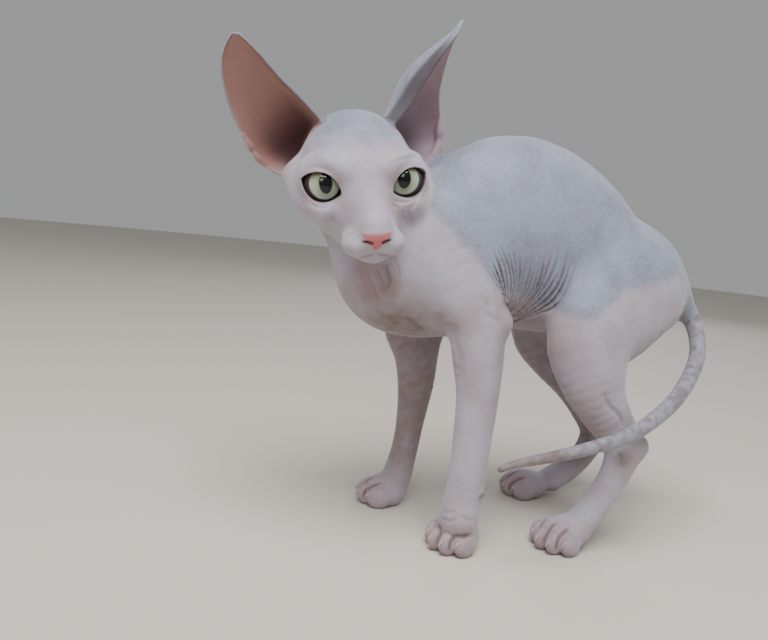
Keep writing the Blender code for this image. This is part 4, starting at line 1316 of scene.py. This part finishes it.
def eye_finish(side):
    """A mint-green iris round a tall black pupil, darkened towards its top by a painted shadow of the
    upper lid, under a wet clear coat.

    Distances are measured on the object from the line of sight, in mm.
    """
    eye = Finish("eye_%s_wet" % side)
    centre = (place_head(eye_centre(side)) - CENTRE) * MM
    axes = HEAD_AXES @ gaze_axes(side)
    vector = "ShaderNodeVectorMath"
    place = eye.node(vector, {"operation": "SUBTRACT"}, {0: eye.place(), 1: tuple(centre)})
    left, up = (
        eye.node(vector, {"operation": "DOT_PRODUCT"}, {0: place, 1: tuple(axis)}, "Value") / MM
        for axis in axes.T[1:]
    )
    from_middle = (left ** 2 + up ** 2).root()
    pupil = ((left / PUPIL_HALF[0]) ** 2 + (up / PUPIL_HALF[1]) ** 2).root()
    streaks = eye.noise(0.9, 3)
    ring = (from_middle / IRIS_RADIUS + (streaks - 0.5) * 0.25).step(0.35, 0.95)
    iris = eye.mix(ring, IRIS_MINT, IRIS_PALE)
    iris = eye.mix((1.25 - pupil + (streaks - 0.5) * 0.2).step(-0.35, 0.3) * 0.55, iris, IRIS_OLIVE_AND_LID_SHADOW)
    # Painted shadow of the upper lid: the iris turns olive towards its top.
    iris = eye.mix(((up + 1.0) / 6).step(0.0, 1.0) * 0.8, iris, IRIS_OLIVE_AND_LID_SHADOW)
    iris = eye.mix(from_middle.step(IRIS_RADIUS - 0.9, IRIS_RADIUS), iris, RIM_DARK)
    iris = eye.mix(pupil.step(0.94, 1.04), (0.002, 0.002, 0.003), iris)
    eye.surface(
        Base_Color=iris,
        Roughness=0.2,
        Specular_IOR_Level=0.1,
        Coat_Weight=0.65,
        Coat_Roughness=0.02,
    )
    return eye.material


def claw_finish():
    """Pale horn with a fine streaky grain of darker horn."""
    horn = Finish("claw_horn")
    grain = horn.noise(0.8, 3, (1, 1, 3))
    horn.surface(
        Base_Color=horn.mix(grain, (0.62, 0.50, 0.42), (0.45, 0.33, 0.26)),
        Roughness=0.35 + grain * 0.15,
    )
    return horn.material


def floor_finish():
    """A matte pale floor with a very faint grain."""
    floor = Finish("studio_floor")
    grain = floor.noise(400, 2)
    floor.surface(Base_Color=floor.mix(grain, (0.58, 0.54, 0.48), (0.62, 0.58, 0.52)), Roughness=0.8)
    return floor.material


# The pieces
FLESH = [
    "torso", "neck", "head", "ear_left", "ear_right",
    "left_foreleg", "left_forepaw", "right_foreleg", "right_forepaw",
    "left_thigh", "left_shank", "left_hind_foot",
    "right_thigh", "right_shank", "right_hind_foot",
    "tail_base", "tail_middle", "tail_tip",
]
HEAD_FLESH = ["head", "neck", "ear_left", "ear_right"]


def wants_detail(clay, points):
    """Where the skin is folded finely enough to need smaller faces."""
    return clay.creases(points) > 0.04


def make_skin(name, clay, box, step, side, replaced, material):
    """One length of the skin, on one side of the plane where the two lengths meet.

    Its normals are the clay's own slope, so that both lengths are shaded alike at the cut.
    """
    ahead = unit(SKIN_PLANE[1]) * side
    points, quads = skin_of(clay, *box, step, (SKIN_PLANE[0], ahead))
    centres = points[quads].mean(1)
    quads = quads[(centres - SKIN_PLANE[0]) @ ahead > -4 * step]
    used, quads = np.unique(quads, return_inverse=True)
    points, quads = points[used], quads.reshape(-1, 4)
    points = settle_on(clay, points, step, 2)
    faces = quads
    if side < 0:
        points, faces = split_quads(points, quads, wants_detail(clay, points[quads].mean(1)))
        folded = clay.creases(points) > 0.01
        points[folded] = settle_on(clay, points[folded], step / 2, 2)
    points, faces = cut_at_plane(points, faces, SKIN_PLANE, side)
    rim = np.abs((points - SKIN_PLANE[0]) @ ahead) < 0.01
    points[rim] = settle_on(clay, points[rim], step, 4, ahead)
    outward = slope_of(clay, points, step)
    outward /= np.maximum(np.linalg.norm(outward, axis=1, keepdims=True), 1e-9)
    made = new_piece(name, points, faces, replaced)
    made.data.normals_split_custom_set_from_vertices(outward.tolist())
    for key, values in paint(points, outward, clay).items():
        layer = made.data.attributes.new(key, "FLOAT", "POINT")
        layer.data.foreach_set("value", values.astype(np.float32))
    made.data.materials.append(material)
    return made


def ball_grid(rings, sides):
    """Unit directions on rings from one pole to the other, as (out, left, up), and their faces."""
    away = np.linspace(0, math.pi, rings + 1)[1:-1, None]
    turn = np.linspace(0, 2 * math.pi, sides, endpoint=False)[None, :]
    grid = np.stack([
        np.cos(away) + 0 * turn, np.sin(away) * np.cos(turn), np.sin(away) * np.sin(turn)], -1)
    points = np.concatenate([[(1.0, 0, 0)], grid.reshape(-1, 3), [(-1.0, 0, 0)]])
    index = 1 + np.arange((rings - 1) * sides).reshape(rings - 1, sides)
    after = np.roll(index, -1, axis=1)
    quads = np.stack([index[:-1], index[1:], after[1:], after[:-1]], -1).reshape(-1, 4).tolist()
    last = len(points) - 1
    fans = [(0, a, b) for a, b in zip(index[0], after[0])]
    fans += [(last, b, a) for a, b in zip(index[-1], after[-1])]
    return points, quads + [tuple(int(i) for i in fan) for fan in fans]


def make_eye(side):
    """An eyeball whose radius rises by up to CORNEA_RISE round the line of sight, smoothly."""
    points, faces = ball_grid(48, 64)
    middle = np.clip((points[:, 0] - 0.72) / 0.28, 0, 1)
    radius = EYE_RADIUS - 0.15 + CORNEA_RISE * smooth_step(middle, 0, 1)
    spots = eye_centre(side) + (points * radius[:, None]) @ gaze_axes(side).T
    made = new_piece("eyeball_" + side, place_head(spots), faces, ["eye_" + side])
    made.data.materials.append(eye_finish(side))


CLAW_RADIUS = 1.15
CLAW_REACH = 4.6                            # how far a claw goes forward, and how far it drops
CLAW_DROP = 3.2
CLAW_RINGS = 9
CLAW_SIDES = 8


def make_claws(name, material):
    """A curved claw at the tip of each toe: rings of radius CLAW_RADIUS * (1 - t)^0.8 along a bend."""
    middle, axes = paw_frame(name)
    t = np.linspace(0, 1, CLAW_RINGS)[:, None]
    turn = np.linspace(0, 2 * math.pi, CLAW_SIDES, endpoint=False)
    ring_index = np.arange(CLAW_RINGS * CLAW_SIDES).reshape(CLAW_RINGS, CLAW_SIDES)
    all_points, all_faces = [], []
    for offset, reach in TOES:
        root = np.array([offset, reach + 5.6, 9.6])
        path = root + np.hstack([0 * t, CLAW_REACH * t, -CLAW_DROP * t ** 2])
        heading = np.hstack([0 * t, CLAW_REACH + 0 * t, -2 * CLAW_DROP * t])
        heading /= np.linalg.norm(heading, axis=1, keepdims=True)
        upward = np.cross((1.0, 0, 0), heading)
        radius = CLAW_RADIUS * np.maximum(1 - t, 0.02) ** 0.8
        ring = (
            path[:, None]
            + 0.7 * radius[:, None] * np.cos(turn)[None, :, None] * np.array([1.0, 0, 0])
            + radius[:, None] * np.sin(turn)[None, :, None] * upward[:, None]
        )
        index = ring_index + ring_index.size * len(all_points)
        after = np.roll(index, -1, axis=1)
        faces = np.stack([index[:-1], after[:-1], after[1:], index[1:]], -1).reshape(-1, 4).tolist()
        all_faces += faces + [index[0, ::-1].tolist(), index[-1].tolist()]
        all_points.append(ring.reshape(-1, 3))
    points = middle + np.concatenate(all_points) @ axes.T
    made = new_piece(name + "_claws", points, all_faces, ())
    mesh = bmesh.new()
    mesh.from_mesh(made.data)
    bmesh.ops.recalc_face_normals(mesh, faces=mesh.faces)
    mesh.to_mesh(made.data)
    mesh.free()
    made.data.materials.append(material)


# The studio
CAMERA_AT = (0.414155, -0.21469, 0.19)
CAMERA_AZIMUTH = 70.0                       # degrees it looks round from the way the cat faces away
CAMERA_PITCH = 7.55                         # degrees below the horizon
CAMERA_ROLL = 6.0
LENS = 35.16


def camera_turn():
    """The camera's right, up and back directions as columns."""
    azimuth, pitch, roll = np.radians([CAMERA_AZIMUTH, CAMERA_PITCH, CAMERA_ROLL])
    level = np.array([-math.sin(azimuth), math.cos(azimuth), 0.0])
    right = np.array([math.cos(azimuth), math.sin(azimuth), 0.0])
    ahead = math.cos(pitch) * level - math.sin(pitch) * np.array([0, 0, 1.0])
    up = math.cos(pitch) * np.array([0, 0, 1.0]) + math.sin(pitch) * level
    across = math.cos(roll) * right + math.sin(roll) * up
    return np.column_stack([across, np.cross(-ahead, across), -ahead])


def make_camera():
    camera = bpy.data.objects.new("camera", bpy.data.cameras.new("camera"))
    bpy.context.collection.objects.link(camera)
    camera.matrix_world = Matrix.Translation(CAMERA_AT) @ Matrix(camera_turn().tolist()).to_4x4()
    camera.data.lens = LENS
    camera.data.sensor_width = 36
    camera.data.clip_start = 0.01
    bpy.context.scene.camera = camera


def make_softbox(name, at, aim, size, power, colour):
    """A square lamp that faces the point it is aimed at."""
    lamp = bpy.data.lights.new(name, "AREA")
    lamp.size = size
    lamp.energy = power
    lamp.color = colour
    made = bpy.data.objects.new(name, lamp)
    bpy.context.collection.objects.link(made)
    back = unit(np.subtract(at, aim))
    across = unit(np.cross((0, 0.01, 1), back))
    turn = np.column_stack([across, np.cross(back, across), back])
    made.matrix_world = Matrix.Translation(at) @ Matrix(turn.tolist()).to_4x4()


def make_floor():
    """A round floor, 8 m across."""
    turn = np.linspace(0, 2 * math.pi, 96, endpoint=False)
    radii = np.array([0.5, 1.5, 4.0])
    rim = np.stack([np.cos(turn), np.sin(turn), 0 * turn], 1)
    points = np.concatenate([[(0, 0, 0)], *(rim * radius for radius in radii)])
    index = 1 + np.arange(len(radii) * 96).reshape(-1, 96)
    after = np.roll(index, -1, axis=1)
    faces = np.stack([index[:-1], index[1:], after[1:], after[:-1]], -1).reshape(-1, 4).tolist()
    faces += [(0, int(a), int(b)) for a, b in zip(index[0], after[0])]
    mesh = bpy.data.meshes.new("floor")
    mesh.from_pydata(points.tolist(), [], faces)
    floor = bpy.data.objects.new("floor", mesh)
    bpy.context.collection.objects.link(floor)
    mesh.materials.append(floor_finish())


def make_studio():
    make_floor()
    middle = (0.0, 0.0, 0.15)
    make_softbox("overhead", (0.55, -0.25, 1.4), middle, 0.9, 30, (1.0, 0.98, 0.97))
    make_softbox("front_fill", (1.3, -0.7, 0.9), middle, 0.5, 5, (1.0, 0.97, 0.94))
    make_softbox("back_fill", (-1.2, 1.0, 1.0), middle, 1.2, 6, (0.93, 0.96, 1.0))
    world = bpy.data.worlds.new("studio")
    world.use_nodes = True
    world.node_tree.nodes["Background"].inputs["Color"].default_value = (0.84, 0.84, 0.86, 1)
    world.node_tree.nodes["Background"].inputs["Strength"].default_value = 0.42
    bpy.context.scene.world = world


def make_cat():
    clay = cat_clay()
    skin = skin_finish()
    make_skin("head_skin", clay, HEAD_BOX, HEAD_STEP, 1, HEAD_FLESH, skin)
    rest = [node for node in FLESH if node not in HEAD_FLESH]
    make_skin("body_skin", clay, BODY_BOX, BODY_STEP, -1, rest, skin)
    for side in ("left", "right"):
        make_eye(side)
    horn = claw_finish()
    for name in PAWS:
        make_claws(name, horn)


make_cat()
make_studio()
make_camera()
